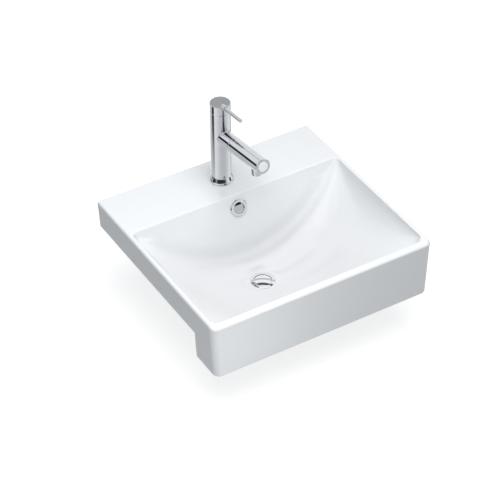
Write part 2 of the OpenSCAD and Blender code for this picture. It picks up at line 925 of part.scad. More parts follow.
// Pull-out head
module dock_sleeve() {
    color(plastic_c)
        spout_frame(dock_floor) ring(dock_bore_r - slip, dock_bore_r - 2.5, joint_at - dock_floor - 0.5);
}

dock_ring_t = 1;
module dock_ring() {
    color(chrome_c) spout_frame(joint_at) ring(spout_r - 0.4, dock_bore_r - 2.5, dock_ring_t);
}

head_at = joint_at + dock_ring_t + seat_gap;
head_bore_r = 14;
end_ring_t = 3;
head_end = spout_reach - end_ring_t;
outlet_at = spout_reach - outlet_back;
module spout_head() {
    color(chrome_c)
        difference() {
            union() {
                spout_frame(head_at) cylinder(r = spout_r, h = head_end - head_at);
                spout_frame(outlet_at)
                    rotate([90, 0, 0]) cylinder(d = outlet_d, h = spout_r + outlet_drop);
            }
            spout_frame(head_at - cut) cylinder(r = head_bore_r, h = head_end - head_at + 2 * cut);
            outlet_frame(0) cylinder(r = aerator_r - 3, h = outlet_face);
            outlet_frame(gasket_at - slip) cylinder(r = aerator_r, h = outlet_face - gasket_at + cut);
        }
}

spigot_r = dock_bore_r - 2.5 - run_fit;
spigot_from = dock_floor + 4;
core_way_r = 5;
core_back = 22;
core_end = head_end - core_back;
module head_core() {
    color(plastic_c)
        difference() {
            union() {
                spout_frame(spigot_from) cylinder(r = spigot_r, h = head_at + 8 - spigot_from);
                spout_frame(head_at) cylinder(r = head_bore_r - slip, h = core_end - head_at);
            }
            spout_frame(spigot_from - cut) cylinder(r = core_way_r, h = outlet_at - spigot_from + cut);
            outlet_frame(0) cylinder(r = core_way_r, h = spout_r);
            spout_frame(outlet_at) cylinder(r = selector_r + run_fit, h = head_end);
            spout_frame(groove_at) ring(spigot_r + cut, spigot_r - groove_d, groove_w);
        }
}

groove_at = spigot_from + 5;
groove_w = 2.4;
groove_d = 1.5;
module head_seal() {
    color(rubber_c)
        spout_frame(groove_at + slip) ring(spigot_r, spigot_r - groove_d + slip, groove_w - 2 * slip);
}

// Outlet: gasket, housing with a lip at its mouth, and the grid between them
aerator_r = outlet_d / 2 - 1.5;
aerator_l = 8;
aerator_proud = 0.6;
aerator_wall = 1.4;
aerator_lip_t = 1;
outlet_gasket_t = 1.5;
outlet_face = spout_r + outlet_drop;
gasket_at = outlet_face - aerator_l - outlet_gasket_t;
lip_at = outlet_face + aerator_proud - aerator_lip_t;
module outlet_frame(z) {
    spout_frame(outlet_at) rotate([90, 0, 0]) translate([0, 0, z]) children();
}

module aerator_housing() {
    color(chrome_c) {
        outlet_frame(outlet_face - aerator_l)
            ring(aerator_r - slip, aerator_r - slip - aerator_wall, aerator_l + aerator_proud);
        outlet_frame(lip_at) ring(aerator_r - 1, aerator_r - slip - 2 * aerator_wall, aerator_lip_t);
    }
}

grid_r = aerator_r - aerator_wall - 2 * slip;
module aerator_insert() {
    color(dark_c)
        outlet_frame(outlet_face - aerator_l + slip)
            difference() {
                cylinder(r = grid_r, h = lip_at - outlet_face + aerator_l - 2 * slip);
                for (r = [0, 2.6, 5.2])
                    for (a = [0:360 / max(1, 2.4 * r):359])
                        rotate([0, 0, a])
                            translate([r, 0, -cut]) cylinder(r = 0.8, h = 2 * aerator_l, $fn = fn_hull);
            }
}

module aerator_gasket() {
    color(rubber_c) outlet_frame(gasket_at) ring(aerator_r - slip, aerator_r - 3, outlet_gasket_t);
}

// End ring, button and selector
button_r = button_d / 2;
button_proud = 0.4;
button_t = 4;
button_base_t = 2;
button_back = spout_reach + button_proud - button_t - button_base_t;
selector_r = 2.5;
module end_ring() {
    color(chrome_c)
        spout_frame(head_end)
            difference() {
                rotate_extrude() {
                    square([spout_r - 1.5, end_ring_t]);
                    square([spout_r, end_ring_t - 1.5]);
                    translate([spout_r - 1.5, end_ring_t - 1.5]) circle(r = 1.5, $fn = fn_hull);
                }
                translate([0, 0, -cut]) cylinder(r = button_r + slip, h = end_ring_t + 2 * cut);
            }
}

module end_button() {
    color(plastic_c)
        spout_frame(button_back) {
            cylinder(r = button_r, h = button_t + button_base_t);
            cylinder(r = button_r + 1.5, h = button_base_t);
        }
}

selector_from = outlet_at + 6;
module selector_stem() {
    color(brass_c)
        spout_frame(selector_from)
            cylinder(r = selector_r, h = button_back - selector_from);
}

// Drawn at its pressed length, so that the button never runs into it
button_wire_r = 0.5;
module button_spring() {
    color(brass_c)
        spout_frame(0)
            coil(selector_r + 2.5, button_wire_r, 6, core_end + slip, button_back - button_travel - slip);
}

basin_body();
overflow_ring();
overflow_plate();
overflow_seal();
waste_body();
waste_top_gasket();
waste_bottom_gasket();
waste_washer();
waste_nut();
plug_cap();
plug_seal();
plug_stem();
click_cartridge();
click_spring();
tap_base_ring();
tap_base_gasket();
tap_body();
tap_shank();
shank_gasket();
shank_washer();
shank_nut();
cartridge_body();
fixed_disc();
cartridge_seals();
cartridge_nut();
cartridge_rotor();
pivot_pin();
moving_disc();
lever_stem();
handle_cap();
lever_rod();
grub_screw();
dock_sleeve();
dock_ring();
spout_head();
head_core();
head_seal();
end_ring();
end_button();
selector_stem();
button_spring();
aerator_housing();
aerator_insert();
aerator_gasket();
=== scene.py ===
# %% [markdown]
# # A semi-recessed basin with its tap, push waste and overflow
# The real object is a block of glazed ceramic that hangs over the front edge of a counter, with chromed brass
# fittings. Its solids and joints come ready made from the frame. This lesson dresses them: it replaces what
# the eye rests on with finer meshes, gives every piece a procedural finish, and lights the whole as a studio
# would. Sizes are written in millimetres, as a maker would, and turned into metres once, when a mesh is made.

# %% Load the frame
from functools import partialmethod
from math import atan, cos, degrees, pi, radians, sin, sqrt, tan

import bmesh
import bpy
from mathutils import Matrix, Vector


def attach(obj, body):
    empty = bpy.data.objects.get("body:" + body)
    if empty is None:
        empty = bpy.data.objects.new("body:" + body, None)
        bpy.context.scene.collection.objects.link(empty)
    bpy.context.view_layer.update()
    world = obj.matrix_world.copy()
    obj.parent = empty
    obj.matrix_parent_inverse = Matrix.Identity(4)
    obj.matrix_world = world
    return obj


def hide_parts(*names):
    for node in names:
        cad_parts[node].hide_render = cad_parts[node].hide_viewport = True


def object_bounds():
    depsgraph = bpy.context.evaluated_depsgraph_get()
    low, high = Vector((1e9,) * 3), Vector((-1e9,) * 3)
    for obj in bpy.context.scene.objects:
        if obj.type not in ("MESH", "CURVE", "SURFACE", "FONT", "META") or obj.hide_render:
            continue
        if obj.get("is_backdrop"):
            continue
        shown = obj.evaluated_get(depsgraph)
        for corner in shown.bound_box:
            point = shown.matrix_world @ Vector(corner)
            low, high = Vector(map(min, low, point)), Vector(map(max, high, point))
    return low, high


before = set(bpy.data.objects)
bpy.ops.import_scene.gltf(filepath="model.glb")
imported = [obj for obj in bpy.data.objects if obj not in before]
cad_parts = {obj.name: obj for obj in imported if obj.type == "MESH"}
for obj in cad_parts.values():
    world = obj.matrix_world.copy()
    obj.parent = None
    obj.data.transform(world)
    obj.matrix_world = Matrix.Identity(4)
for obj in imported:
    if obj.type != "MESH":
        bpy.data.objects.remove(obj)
cad_box = [list(corner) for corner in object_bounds()]
print("CAD box in metres:", cad_box)

# %% [markdown]
# ## The camera
# A product photographer stands well back with a long lens, so that upright lines stay nearly upright. The
# camera is placed first, because everything else is judged through it. It looks from the front left and from
# above.

# %% Camera
MM = 0.001
CAMERA_PLACE = (-1.89931, -3.35094, 2.99211)
AZIMUTH, ELEVATION, ROLL = -30.982, 39.5, -0.37
LENS, SENSOR_WIDTH = 151.48, 36


def aim(azimuth, elevation, roll):
    """Rotation of a camera that looks from that side and height, tipped by roll."""
    a, e, r = (radians(v) for v in (azimuth, elevation, roll))
    back = Vector((sin(a) * cos(e), -cos(a) * cos(e), sin(e)))
    level = Vector((cos(a), sin(a), 0))
    upright = back.cross(level)
    right = level * cos(r) + upright * sin(r)
    top = upright * cos(r) - level * sin(r)
    return Matrix((right, top, back)).transposed()


camera = bpy.data.objects.new("camera", bpy.data.cameras.new("camera"))
camera.data.lens, camera.data.sensor_width = LENS, SENSOR_WIDTH
camera.matrix_world = Matrix.Translation(CAMERA_PLACE) @ aim(AZIMUTH, ELEVATION, ROLL).to_4x4()
bpy.context.scene.collection.objects.link(camera)
bpy.context.scene.camera = camera
bpy.context.scene.view_settings.view_transform = "Standard"
print("camera lens:", camera.data.lens, "mm")

# %% [markdown]
# ## Rings, skins and the lathe
# Most pieces of a tap are turned on a lathe, so one helper spins a profile round an axis. A profile is
# written as corners with a radius each, because a cast or turned edge is never sharp, and it is the small
# round that catches the light. Every wall is a skin over rings of points, and a ring of one point is a pole.

# %% Rings, skins and the lathe
def soften(corners, steps=6):
    """Profile of (radius, height) points from corners (radius, height, round)."""
    points = []
    for i, (x, y, r) in enumerate(corners):
        corner = Vector((x, y, 0))
        if not r:
            points.append((x, y))
            continue
        before = (Vector((*corners[i - 1][:2], 0)) - corner).normalized()
        after = (Vector((*corners[(i + 1) % len(corners)][:2], 0)) - corner).normalized()
        half = before.angle(after) / 2
        centre = corner + (before + after).normalized() * r / sin(half)
        start, end = (corner + side * r / tan(half) - centre for side in (before, after))
        for k in range(steps + 1):
            spoke = centre + start.slerp(end, k / steps).normalized() * r
            points.append((spoke.x, spoke.y))
    return points


def ring(r, z, place=Matrix(), sides=128):
    """Points of a circle round the place's Z, or its one point on the axis."""
    if r < 1e-6:
        return [place @ Vector((0, 0, z))]
    turns = (2 * pi * k / sides for k in range(sides))
    return [place @ Vector((r * cos(t), r * sin(t), z)) for t in turns]


def skin(rings, caps=False):
    """Shape, as points and faces, whose walls join rings. Caps close both ends with a face."""
    count = max(len(one) for one in rings)
    points, rows = [], []
    for one in rings:
        row = list(range(len(points), len(points) + len(one)))
        rows.append(row if len(row) > 1 else row * count)
        points += one
    faces = [rows[0], rows[-1]] if caps else []
    for low, high in zip(rows, rows[1:]):
        for k in range(count):
            n = (k + 1) % count
            face = list(dict.fromkeys([low[k], low[n], high[n], high[k]]))
            if len(face) > 2:
                faces.append(face)
    return points, faces


def lathe(profile, place=Matrix(), sides=128):
    """Shape of a profile spun round the place's Z. It closes on the axis, or on itself as a ring."""
    rings = [ring(r, z, place, sides) for r, z in profile]
    if len(rings[0]) > 1 and len(rings[-1]) > 1:
        rings.append(rings[0])
    return skin(rings)


print("a washer has", len(lathe([(5, 0), (9, 0), (9, 2), (5, 2)], sides=32)[1]), "faces")

# %% [markdown]
# ## From shapes to pieces
# A shape becomes a mesh in metres, and a mesh becomes an object. Some objects only lend their shape, to cut
# with or to join on. The others are finished: shaded smooth, tied to their body and set in place of their
# solid.

# %% Helpers for objects
def mesh_of(name, shapes):
    """One mesh in metres from shapes in millimetres, with its faces turned outwards."""
    bm = bmesh.new()
    for points, faces in shapes:
        made = [bm.verts.new(Vector(p) * MM) for p in points]
        for face in faces:
            bm.faces.new([made[i] for i in face])
    bmesh.ops.remove_doubles(bm, verts=bm.verts, dist=0.002 * MM)
    bmesh.ops.recalc_face_normals(bm, faces=bm.faces)
    mesh = bpy.data.meshes.new(name)
    bm.to_mesh(mesh)
    bm.free()
    return mesh


def helper(name, mesh):
    """Object that only lends its shape."""
    obj = bpy.data.objects.new(name, mesh)
    bpy.context.scene.collection.objects.link(obj)
    return obj


def cutter(shape):
    """Helper from one shape, to cut with or to join on."""
    return helper("cutter", mesh_of("cutter", [shape]))


def settle(obj):
    """The object's mesh with its modifiers applied."""
    bpy.context.view_layer.update()
    mesh = bpy.data.meshes.new_from_object(obj.evaluated_get(bpy.context.evaluated_depsgraph_get()))
    obj.modifiers.clear()
    obj.data = mesh
    return mesh


def carve(obj, tool, operation="DIFFERENCE"):
    """Cuts the tool's shape from the object, or joins it on, and throws the tool away."""
    cut = obj.modifiers.new("cut", "BOOLEAN")
    cut.operation, cut.solver, cut.object = operation, "MANIFOLD", tool
    settle(obj)
    bpy.data.objects.remove(tool)


def smooth(obj, crease):
    """Smooth shading up to the crease angle, led by the large flat faces."""
    obj.data.shade_smooth()
    obj.data.set_sharp_from_angle(angle=radians(crease))
    weighted = obj.modifiers.new("flat faces first", "WEIGHTED_NORMAL")
    weighted.keep_sharp = True
    settle(obj)


def piece(name, source, body, material, node, crease=32):
    """Piece from a mesh or an object, that rides on its body and stands for its node.

    The material is None where the faces have their finishes already.
    """
    obj = source if isinstance(source, bpy.types.Object) else helper(name, source)
    obj.name = name
    if material:
        obj.data.materials.clear()
        obj.data.materials.append(material)
    smooth(obj, crease)
    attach(obj, body)
    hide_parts(node)
    print(f"{name}: {len(obj.data.polygons)} faces on {body}")
    return obj


def turned(name, place, body, material, node, corners, sides=128, steps=6):
    """Piece turned on a lathe from corners (radius, height, round)."""
    mesh = mesh_of(name, [lathe(soften(corners, steps), place, sides)])
    return piece(name, mesh, body, material, node)


print("a millimetre is", MM, "of a mesh's unit")

# %% [markdown]
# ## Places
# Every fitting has its own frame on the centre line. The spout's frame looks along the spout, the overflow's
# frame looks out of the sloping back wall, and the lever's frame looks along the rod.

# %% Places on the basin
DECK, LIP_Z, BACK_Y = 72, 69, -129
TAP_Y, WASTE_Y = -63, -243
SPOUT_Z, SPOUT_RISE, OUTLET_ALONG = 198, 8.4, 154
LEVER_Z, LEVER_RISE, LEVER_OUT = 280.3, 6.3, 12
BACK_LEAN, OVERFLOW_Z = 0.329, 40.4
OVERFLOW_Y = BACK_Y - (LIP_Z - OVERFLOW_Z) * BACK_LEAN
LEAN = degrees(atan(BACK_LEAN))


def along_y(angle):
    """Turns Z towards -Y, by 90 degrees for level."""
    return Matrix.Rotation(radians(angle), 4, "X")


def about_z(angle):
    """Turns round Z."""
    return Matrix.Rotation(radians(angle), 4, "Z")


def on_axis(y, z):
    """Place on the centre line."""
    return Matrix.Translation((0, y, z))


tap, waste = on_axis(TAP_Y, 0), on_axis(WASTE_Y, 0)
spout = on_axis(TAP_Y, SPOUT_Z) @ along_y(90 - SPOUT_RISE)
outlet = spout @ on_axis(0, OUTLET_ALONG) @ along_y(90)
lever = on_axis(TAP_Y, LEVER_Z) @ along_y(90 - LEVER_RISE) @ on_axis(0, LEVER_OUT)
overflow = on_axis(OVERFLOW_Y, OVERFLOW_Z) @ along_y(90 - LEAN)
print("overflow centre in mm:", [round(v, 1) for v in overflow.translation])

# %% [markdown]
# ## Nodes as formulas
# Finishes and shapes are both made of nodes, which take many lines in a script. One helper adds a node and
# links or sets its sockets by name. A small class stands for a number socket and adds a node for each sum,
# product or power, so that a formula reads as a formula.

# %% Nodes in a tree
class Number:
    """A number socket of a node tree, which formulas can be written with."""

    def __init__(self, tree, socket):
        self.tree, self.socket = tree, socket

    def do(self, operation, *others):
        node = self.tree.nodes.new("ShaderNodeMath")
        node.operation = operation
        for slot, value in zip(node.inputs, (self, *others)):
            fill(self.tree, slot, value)
        return Number(self.tree, node.outputs[0])

    __add__ = partialmethod(do, "ADD")
    __sub__ = partialmethod(do, "SUBTRACT")
    __mul__ = partialmethod(do, "MULTIPLY")
    __truediv__ = partialmethod(do, "DIVIDE")
    __pow__ = partialmethod(do, "POWER")
    most = partialmethod(do, "MAXIMUM")
    least = partialmethod(do, "MINIMUM")
    below = partialmethod(do, "LESS_THAN")

    def minus_from(self, other):
        return self * -1 + other

    def mix(self, other, share):
        """This number where share is 0, the other where it is 1."""
        return self + (self * -1 + other) * share


def fill(tree, slot, value):
    """Links a socket to a number, to another socket or to a node's first output, or sets its value."""
    if isinstance(value, bpy.types.Node):
        value = value.outputs[0]
    value = getattr(value, "socket", value)
    if isinstance(value, bpy.types.NodeSocket):
        tree.links.new(value, slot)
    else:
        slot.default_value = value


def join_up(tree, node_type, sockets=(), **settings):
    """New node with its settings and with sockets filled by name."""
    node = tree.nodes.new(node_type)
    for setting, value in settings.items():
        setattr(node, setting, value)
    for name, value in dict(sockets).items():
        fill(tree, node.inputs[name], value)
    return node


def split(tree, vector):
    """The three numbers of a vector."""
    parts = join_up(tree, "ShaderNodeSeparateXYZ", {"Vector": vector})
    return [Number(tree, parts.outputs[i]) for i in range(3)]


print("formulas know:", ", ".join(name for name in vars(Number) if not name.startswith("_")))

# %% [markdown]
# ## Finishes
# A finish starts from one shader with its plain values on the shader's own sockets. What varies over a real
# surface is then added with noise that reads Object coordinates: faint clouds in the colour, patches that are
# a little duller, and a fine relief. Object coordinates are used, because they stay on the piece as it moves.

# %% Finish helpers
CLOUD_SPAN, DULL_SPAN = (0.35, 0.65), (0.3, 0.7)


def shader_of(material):
    """The material's shader."""
    return material.node_tree.nodes["Principled BSDF"]


def finish(name, colour, **sockets):
    """Material with one Principled shader and plain values on its sockets."""
    material = bpy.data.materials.new(name)
    material.use_nodes = True
    shader = shader_of(material)
    shader.inputs["Base Color"].default_value = (*colour, 1)
    for socket, value in sockets.items():
        shader.inputs[socket.replace("_", " ")].default_value = value
    return material


def noise(material, scale, detail, stretch=(1, 1, 1)):
    """Cloudy texture on Object coordinates."""
    tree = material.node_tree
    place = join_up(tree, "ShaderNodeTexCoord").outputs["Object"]
    mapping = join_up(tree, "ShaderNodeMapping", {"Vector": place, "Scale": stretch})
    texture = join_up(tree, "ShaderNodeTexNoise", {"Vector": mapping, "Scale": scale, "Detail": detail})
    return texture.outputs["Fac"]


def cloud(material, other, *grain):
    """Lets the colour drift to another one where the noise is high."""
    base = shader_of(material).inputs["Base Color"]
    ramp = join_up(material.node_tree, "ShaderNodeValToRGB", {"Fac": noise(material, *grain)})
    low, high = ramp.color_ramp.elements
    low.position, high.position = CLOUD_SPAN
    low.color, high.color = base.default_value[:], (*other, 1)
    fill(material.node_tree, base, ramp)


def dull(material, low, high, *grain):
    """Lets the roughness run from low to high with the noise."""
    spread = join_up(material.node_tree, "ShaderNodeMapRange", {
        "Value": noise(material, *grain), "From Min": DULL_SPAN[0], "From Max": DULL_SPAN[1],
        "To Min": low, "To Max": high})
    fill(material.node_tree, shader_of(material).inputs["Roughness"], spread)


def relief(material, strength, depth, *grain):
    """Fine bumps, depth in metres."""
    bump = join_up(material.node_tree, "ShaderNodeBump", {
        "Height": noise(material, *grain), "Strength": strength, "Distance": depth})
    fill(material.node_tree, shader_of(material).inputs["Normal"], bump)


print("colours drift over the middle", round(CLOUD_SPAN[1] - CLOUD_SPAN[0], 2), "of the noise")

# %% [markdown]
# ## Glaze, bare clay and painted shade
# Sanitary ware is white clay under a clear glaze. The glaze is nearly a mirror, but it lies in very soft
# waves. Where the basin rests on its supports in the kiln it stays unglazed, so those faces get the matt
# clay. Inside the overflow's duct the clay is painted near black, as painted shade for the duct's dark depth.

# %% Glaze and clay
glaze = finish("glazed ceramic", (0.8, 0.808, 0.82), Roughness=0.07, IOR=1.52, Coat_Weight=0.3,
               Coat_Roughness=0.04)
cloud(glaze, (0.79, 0.8, 0.812), 5, 2)
dull(glaze, 0.06, 0.12, 30, 4)
relief(glaze, 0.06, 0.0003, 45, 1)

clay = finish("bare clay", (0.79, 0.77, 0.72), Roughness=0.85)
cloud(clay, (0.7, 0.675, 0.62), 70, 6)
relief(clay, 0.5, 0.0003, 900, 5)

# Painted shade: near-black clay inside the overflow's duct, standing in for its dark depth.
duct_painted_shade = finish("painted shade in the duct", (0.03, 0.03, 0.035), Roughness=0.9)
cloud(duct_painted_shade, (0.06, 0.055, 0.05), 60, 5)
print("ceramic finishes:", glaze.name, clay.name, duct_painted_shade.name)

# %% [markdown]
# ## Metals
# Chrome is a bluish mirror. Handling leaves patches that are hardly duller, seen only where a bright light
# grazes them. Brass shows the rings of the lathe, and steel the drawn grain of wire and washers.

# %% Metals
chrome = finish("polished chrome", (0.66, 0.68, 0.705), Metallic=1, Roughness=0.05)
cloud(chrome, (0.63, 0.65, 0.68), 25, 3)
dull(chrome, 0.03, 0.075, 90, 4)

# A lighter copy of the same chrome, for the waste's tube and plug: a painted brighter reflection.
chrome_painted_brighter = finish("chrome painted brighter", (0.86, 0.875, 0.895), Metallic=1, Roughness=0.04)
cloud(chrome_painted_brighter, (0.82, 0.835, 0.86), 25, 3)
dull(chrome_painted_brighter, 0.03, 0.07, 90, 4)

brass = finish("turned brass", (0.72, 0.5, 0.22), Metallic=1, Roughness=0.28)
cloud(brass, (0.56, 0.37, 0.16), 60, 5)
dull(brass, 0.2, 0.42, 130, 4)
relief(brass, 0.25, 0.0002, 400, 1, (0.05, 0.05, 1))

steel = finish("stainless steel", (0.62, 0.61, 0.59), Metallic=1, Roughness=0.3)
cloud(steel, (0.5, 0.49, 0.48), 80, 4)
dull(steel, 0.2, 0.4, 500, 2, (1, 1, 0.1))
print("metals:", chrome.name, chrome_painted_brighter.name, brass.name, steel.name)

# %% [markdown]
# ## Rubber, plastic and the discs
# Rubber is nearly black with a dusty bloom. The cartridge parts are moulded white plastic with a fine grain.
# The discs that shut the water off are ground alumina.

# %% Rubber, plastic and discs
rubber = finish("black rubber", (0.03, 0.03, 0.032), Roughness=0.6)
cloud(rubber, (0.075, 0.075, 0.075), 120, 5)
relief(rubber, 0.35, 0.0002, 1500, 3)

plastic = finish("moulded plastic", (0.74, 0.745, 0.74), Roughness=0.38, Subsurface_Weight=0.05,
                 Subsurface_Scale=0.002)
cloud(plastic, (0.69, 0.7, 0.7), 50, 3)
relief(plastic, 0.2, 0.0001, 2200, 2)

button_white = finish("white button", (0.9, 0.9, 0.91), Roughness=0.22)
cloud(button_white, (0.87, 0.875, 0.885), 90, 2)

grid_grey = finish("grey outlet plastic", (0.16, 0.165, 0.17), Roughness=0.4)
cloud(grid_grey, (0.22, 0.225, 0.23), 150, 4)
relief(grid_grey, 0.25, 0.0001, 1800, 2)

alumina = finish("ground alumina", (0.83, 0.82, 0.78), Roughness=0.16)
cloud(alumina, (0.78, 0.77, 0.73), 200, 4)
print("other finishes:", rubber.name, plastic.name, button_white.name, grid_grey.name, alumina.name)

# %% [markdown]
# ## Geometry nodes from a script
# A main piece with a shape that follows a rule is best made by geometry nodes. Each tree here has named
# inputs for its sizes and ends in a plain mesh with its material; the bowl and the thread start from a grid
# of rows and turns.

# %% Geometry trees
def new_tree(name, sizes):
    """Geometry tree with named number inputs: the tree, its input numbers and its output node."""
    tree = bpy.data.node_groups.new(name, "GeometryNodeTree")
    for title, value in sizes.items():
        socket = tree.interface.new_socket(title, in_out="INPUT", socket_type="NodeSocketFloat")
        socket.default_value = value
    tree.interface.new_socket("Geometry", in_out="OUTPUT", socket_type="NodeSocketGeometry")
    given = tree.nodes.new("NodeGroupInput")
    numbers = {title: Number(tree, given.outputs[title]) for title in sizes}
    return tree, numbers, tree.nodes.new("NodeGroupOutput")


def grown(name, tree, sizes):
    """Plain mesh that a tree makes for these sizes, set by each socket's identifier."""
    obj = helper(name, bpy.data.meshes.new(name))
    modifier = obj.modifiers.new("grow", "NODES")
    modifier.node_group = tree
    for item in tree.interface.items_tree:
        if item.in_out == "INPUT" and item.name in sizes:
            modifier[item.identifier] = float(sizes[item.name])
    mesh = settle(obj)
    bpy.data.objects.remove(obj)
    print(f"{name}: {len(mesh.vertices)} points from the tree {tree.name}")
    return mesh


def finish_tree(tree, out, geometry, material):
    """Ends a tree in Realize Instances and Set Material."""
    real = join_up(tree, "GeometryNodeRealizeInstances", {"Geometry": geometry})
    fill(tree, out.inputs["Geometry"],
         join_up(tree, "GeometryNodeSetMaterial", {"Geometry": real, "Material": material}))


def unit_grid(tree, rows, around):
    """Grid of points: its node, and each point's row and turn from 0 to 1."""
    grid = join_up(tree, "GeometryNodeMeshGrid", {
        "Size X": 1, "Size Y": 1, "Vertices X": rows + 1, "Vertices Y": around + 1})
    row, turn, _ = split(tree, join_up(tree, "GeometryNodeInputPosition"))
    return grid, row + 0.5, turn + 0.5


def placed(tree, geometry, x, y, z):
    """The geometry with its points moved to these places."""
    point = join_up(tree, "ShaderNodeCombineXYZ", {"X": x, "Y": y, "Z": z})
    return join_up(tree, "GeometryNodeSetPosition", {"Geometry": geometry, "Position": point})


print("trees so far:", len(bpy.data.node_groups))

# %% [markdown]
# ## The bowl's rule
# The bowl is a trough that falls towards the waste from the front and the sides, and meets a straight,
# leaning back wall in a soft curve. It could be sculpted, but a rule keeps it exact: each ring of points runs
# between a circle round the waste and the rounded rectangle of the rim, and its height is a formula of its
# place. The powers set how full the trough is, and the soft curve widens with the depth up to a limit. Near
# the rim the wall is pulled up to the lip's height, and near the waste it eases into the flat seat.

# %% The height of the bowl's wall
BOWL = {
    "Half Width": 269, "Front": -483, "Back": BACK_Y, "Front Round": 22, "Rear Round": 14,
    "Lip Height": LIP_Z, "Depth": 170, "Waste": WASTE_Y, "Seat": 29.5, "Front Run": 240,
    "Back Run": 120.84, "Lean": BACK_LEAN, "Growth": 0, "Lip Round": 3,
}
AROUND, ACROSS, LIP_STEPS, CORNER_POINTS = 480, 44, 6, 12
SIDE_POWER, FRONT_POWER = 0.6, 0.5
SOFT_SHARE, SOFT_MOST = 1.2, 40
EASED_SHARE, RIM_PULL = 0.16, 14


def bowl_height(n, x, y):
    """Height of the bowl's wall at (x, y)."""
    run = (n["Back Run"] + n["Growth"]).mix(n["Front Run"] + n["Growth"], y.below(n["Waste"]))
    across = ((x / (n["Half Width"] + n["Growth"])) ** 2).minus_from(1).most(0) ** SIDE_POWER
    along = (((y - n["Waste"]) / run) ** 2).minus_from(1).most(0) ** FRONT_POWER
    trough = n["Lip Height"] - (n["Depth"] + n["Growth"]) * across * along
    back = n["Lip Height"] - (n["Back"] + n["Growth"] - y) / n["Lean"]
    deep = n["Lip Height"] - trough.most(back)
    blend = (deep * SOFT_SHARE).most(0.01).least(SOFT_MOST)
    overlap = (blend - (trough - back).do("ABSOLUTE")).most(0) / blend
    return (trough.most(back) + overlap * overlap * blend / 4).least(n["Lip Height"])


print("the bowl is", BOWL["Depth"], "mm deep")


# %% The bowl's points
def wall_point(n, row, rim_x, rim_y):
    """Place of a wall's point, on its way from the waste's seat to the rim."""
    share = (row * (pi / 2)).do("SINE")
    out_y = rim_y - n["Waste"]
    reach = (rim_x * rim_x + out_y ** 2) ** 0.5
    seat = n["Seat"] + n["Growth"]
    x = (rim_x / reach * seat).mix(rim_x, share)
    y = (out_y / reach * seat + n["Waste"]).mix(rim_y, share)
    floor = n["Lip Height"] - n["Depth"] - n["Growth"]
    eased = (share / EASED_SHARE).least(1)
    eased = eased * eased * (eased * -2 + 3)
    missing = n["Lip Height"] - bowl_height(n, rim_x, rim_y)
    from_rim = ((x - rim_x) ** 2 + (y - rim_y) ** 2) ** 0.5
    near = (from_rim / -RIM_PULL + 1).most(0)
    return x, y, floor.mix(bowl_height(n, x, y), eased) + missing * near * near


def lip_point(n, row, rim_x, local_y, rim_y, tangent_x, tangent_y):
    """Place of a lip's point, on an arc from the wall's lean to the level rim."""
    side = (tangent_x * local_y - tangent_y * rim_x).do("SIGN") * -1
    rear = ((rim_y - n["Back"]) / n["Rear Round"] + 1).most(0).least(1)
    start = n["Lean"].do("ARCTANGENT") * rear
    bend = start.mix(pi / 2, row)
    radius = n["Lip Round"] / start.do("SINE").minus_from(1)
    out_by = (start.do("COSINE") - bend.do("COSINE")) * radius
    rise = (bend.do("SINE") - start.do("SINE")) * radius
    x, y = rim_x + tangent_y * side * out_by, rim_y - tangent_x * side * out_by
    return x, y, n["Lip Height"] + rise


print("rows of points:", ACROSS, "on the wall and", LIP_STEPS, "on the lip")


# %% The bowl's tree
def bowl_tree():
    tree, n, out = new_tree("bowl", BOWL)
    width, depth = (n["Half Width"] + n["Growth"]) * 2, n["Back"] - n["Front"] + n["Growth"] * 2
    outline = join_up(tree, "GeometryNodeCurvePrimitiveQuadrilateral", {"Width": width, "Height": depth})
    middle = (n["Front"] + n["Back"]) / 2
    _, corner_y, _ = split(tree, join_up(tree, "GeometryNodeInputPosition"))
    corner = (n["Rear Round"] + n["Growth"]).mix(n["Front Round"] + n["Growth"], corner_y.below(0))
    rounded = join_up(tree, "GeometryNodeFilletCurve",
                      {"Curve": outline, "Radius": corner, "Count": CORNER_POINTS}, mode="POLY")
    joined = tree.nodes.new("GeometryNodeJoinGeometry")
    for rows in (LIP_STEPS, ACROSS):
        grid, row, turn = unit_grid(tree, rows, AROUND)
        kept = join_up(tree, "GeometryNodeCaptureAttribute", {"Geometry": grid})
        for i, (title, value) in enumerate((("row", row), ("turn", turn)), 1):
            kept.capture_items.new("FLOAT", title)
            fill(tree, kept.inputs[i], value)
        row, turn = (Number(tree, kept.outputs[i]) for i in (1, 2))
        sample = join_up(tree, "GeometryNodeSampleCurve", {"Curves": rounded, "Factor": turn}, mode="FACTOR")
        rim_x, local_y, _ = split(tree, sample.outputs["Position"])
        tangent_x, tangent_y, _ = split(tree, sample.outputs["Tangent"])
        rim_y = local_y + middle
        if rows == ACROSS:
            place = wall_point(n, row, rim_x, rim_y)
        else:
            place = lip_point(n, row, rim_x, local_y, rim_y, tangent_x, tangent_y)
        fill(tree, joined.inputs[0], placed(tree, kept, *place))
    merged = join_up(tree, "GeometryNodeMergeByDistance", {"Geometry": joined, "Distance": 0.01})
    finish_tree(tree, out, merged, glaze)
    return tree


bowl_nodes = bowl_tree()
print("the bowl's tree has", len(bowl_nodes.nodes), "nodes")

# %% [markdown]
# ## Painted shade in the bowl
# The glaze is painted a little greyer deep in the bowl, as painted shade where the walls keep light from the
# floor. The share of the greyer tone grows with the depth below the rim and stops at the bowl's own outline.

# %% Painted shade in the bowl
BOWL_SHADE_EDGE, BOWL_SHADE_TOP, BOWL_SHADE_DEPTH = 8, 30, 90


